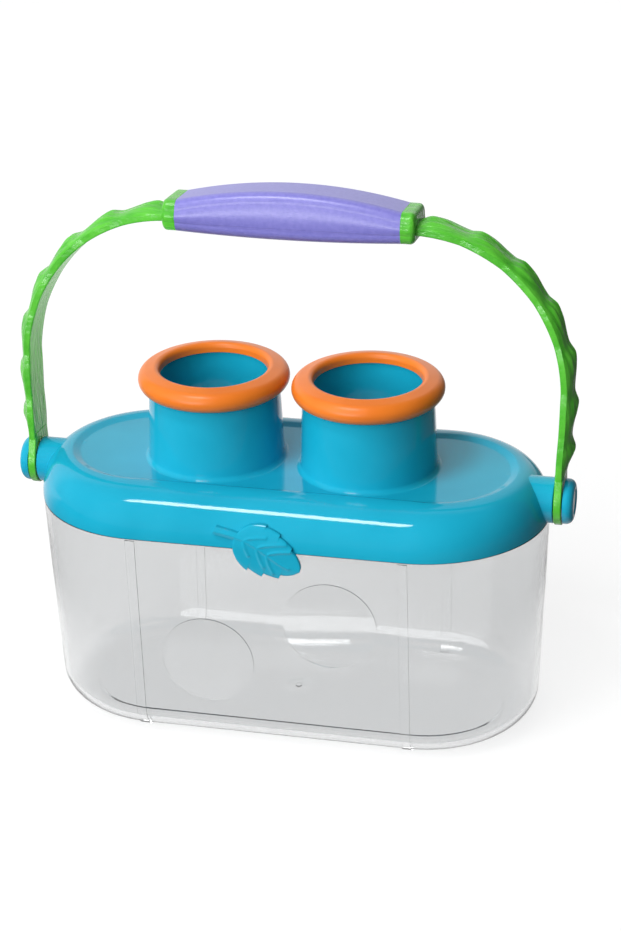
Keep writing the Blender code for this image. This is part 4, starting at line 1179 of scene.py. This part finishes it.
def mirrored_floor(tree):
    """How far the floor shows white in mirror rays: behind the object, and close round its foot."""
    where = tree.nodes.new("ShaderNodeNewGeometry").outputs["Position"]
    place = split_place(tree, where)
    backdrop = work_out(tree, "MULTIPLY", spread(tree, place["Y"], FLOOR_BACK_SPAN, FADE_IN),
                        spread(tree, place["X"], FLOOR_SIDE_SPAN, FADE_OUT))
    away = new_node(tree, "ShaderNodeVectorMath", {0: where})
    away.operation = "LENGTH"
    near = spread(tree, away.outputs["Value"], FLOOR_NEAR_SPAN, FADE_OUT)
    return work_out(tree, "MAXIMUM", backdrop, near)


def build_floor():
    """A pale floor that is white where it is seen and keeps the object's soft shadow."""
    material, tree, shader = new_material("studio_floor")
    tree.nodes.remove(shader)
    output = next(node for node in tree.nodes if node.type == "OUTPUT_MATERIAL")
    glow = new_node(tree, "ShaderNodeEmission", {"Strength": FLOOR_GLOW}).outputs["Emission"]
    lifted = new_node(tree, "ShaderNodeAddShader", {0: grey_matt(tree, FLOOR_SHADE), 1: glow})
    in_mirrors = work_out(tree, "MULTIPLY", any_ray(tree, "Is Glossy Ray"), mirrored_floor(tree))
    seen = work_out(tree, "MAXIMUM", any_ray(tree, "Is Camera Ray", "Is Transmission Ray"), in_mirrors)
    mix_shaders(tree, seen, grey_matt(tree, FLOOR_BOUNCE), lifted.outputs["Shader"], output)
    floor = box("floor", (-FLOOR_HALF, -FLOOR_HALF, -2 * FLOOR_SINK),
                (FLOOR_HALF, FLOOR_HALF, -FLOOR_SINK))
    floor.data.materials.append(material)


def area_lamp(name, place, target, width, depth, radiance):
    """A softbox, with its power worked out from how bright its face is."""
    lamp = bpy.data.lights.new(name, "AREA")
    lamp.shape = "RECTANGLE"
    lamp.size = width
    lamp.size_y = depth
    lamp.energy = radiance * pi * width * depth
    item = new_object(name, lamp)
    item.location = place
    item.rotation_euler = (Vector(target) - Vector(place)).to_track_quat("-Z", "Y").to_euler()
    return item


def shine_on(lamp, *names):
    """Let a lamp light only the named pieces."""
    lit = bpy.data.collections.new(lamp.name + "_pieces")
    for name in names:
        lit.objects.link(bpy.data.objects[name])
    lamp.light_linking.receiver_collection = lit


def build_lights():
    """A soft main light from the front left, a softbox overhead, and two lamps for a few pieces alone."""
    sun = bpy.data.lights.new("soft_main", "SUN")
    sun.energy = SUN_ENERGY
    sun.angle = SUN_ANGLE
    item = new_object("soft_main", sun)
    item.rotation_euler = SUN_DIRECTION.to_track_quat("-Z", "Y").to_euler()
    item.visible_glossy = False
    area_lamp("top_softbox", place=(-0.25, -0.415, 1.095), target=(0, -0.03, 0.09),
              width=0.30, depth=0.14, radiance=24.0)
    card = area_lamp("front_card", place=(-0.45, -1.30, 0.20), target=(0, 0, 0.17),
                     width=0.80, depth=0.06, radiance=26.0)
    card.visible_diffuse = False
    shine_on(card, "grip_top_shell", "grip_base_shell", "leaf_handle",
             "eyecup_rim_left", "eyecup_rim_right")
    fill = area_lamp("arm_fill", place=(-0.01, 0.0, 0.14), target=(-0.10, 0.0, 0.13),
                     width=0.08, depth=0.08, radiance=3.4)
    fill.visible_glossy = False
    shine_on(fill, "leaf_handle")


def build_camera():
    """The photograph's camera: its place, aim, roll and focal length."""
    camera = bpy.data.cameras.new("photo_camera")
    camera.sensor_width = SENSOR
    camera.lens = SENSOR * FOCAL_PIXELS / PHOTO_HEIGHT
    camera.clip_start, camera.clip_end = VIEW_CLIP
    item = new_object("photo_camera", camera)
    turn = Matrix.Rotation(VIEW_AZIMUTH, 4, "Z") @ Matrix.Rotation(SQUARE_TURN - VIEW_ELEVATION, 4, "X")
    back = Matrix.Rotation(VIEW_ROLL, 4, "Z") @ Matrix.Translation((0, 0, VIEW_DISTANCE))
    item.matrix_world = Matrix.Translation(VIEW_TARGET) @ turn @ back
    bpy.context.scene.camera = item


clear = clear_material("clear_gloss", TUB_TINT, roughness=(0.01, 0.04), ripple=0.10)
lens_clear = clear_material("lens_gloss", LENS_TINT, roughness=(0.0, 0.02), ripple=0.02)
turquoise = turquoise_material()
orange = rubber_material()
green = green_material()
purple = purple_material()
steel = steel_material()

build_tub(clear)
build_lid(turquoise)
build_leaf_tab(turquoise)
build_eyepieces(orange, lens_clear, turquoise)
build_handle(green)
build_grip(purple)
dress_nodes(turquoise, "lens_ring_left", "lens_ring_right")
dress_nodes(steel, "grip_screw_left", "grip_screw_right")

build_world()
build_floor()
build_lights()
build_camera()
bpy.context.scene.view_settings.view_transform = "Standard"
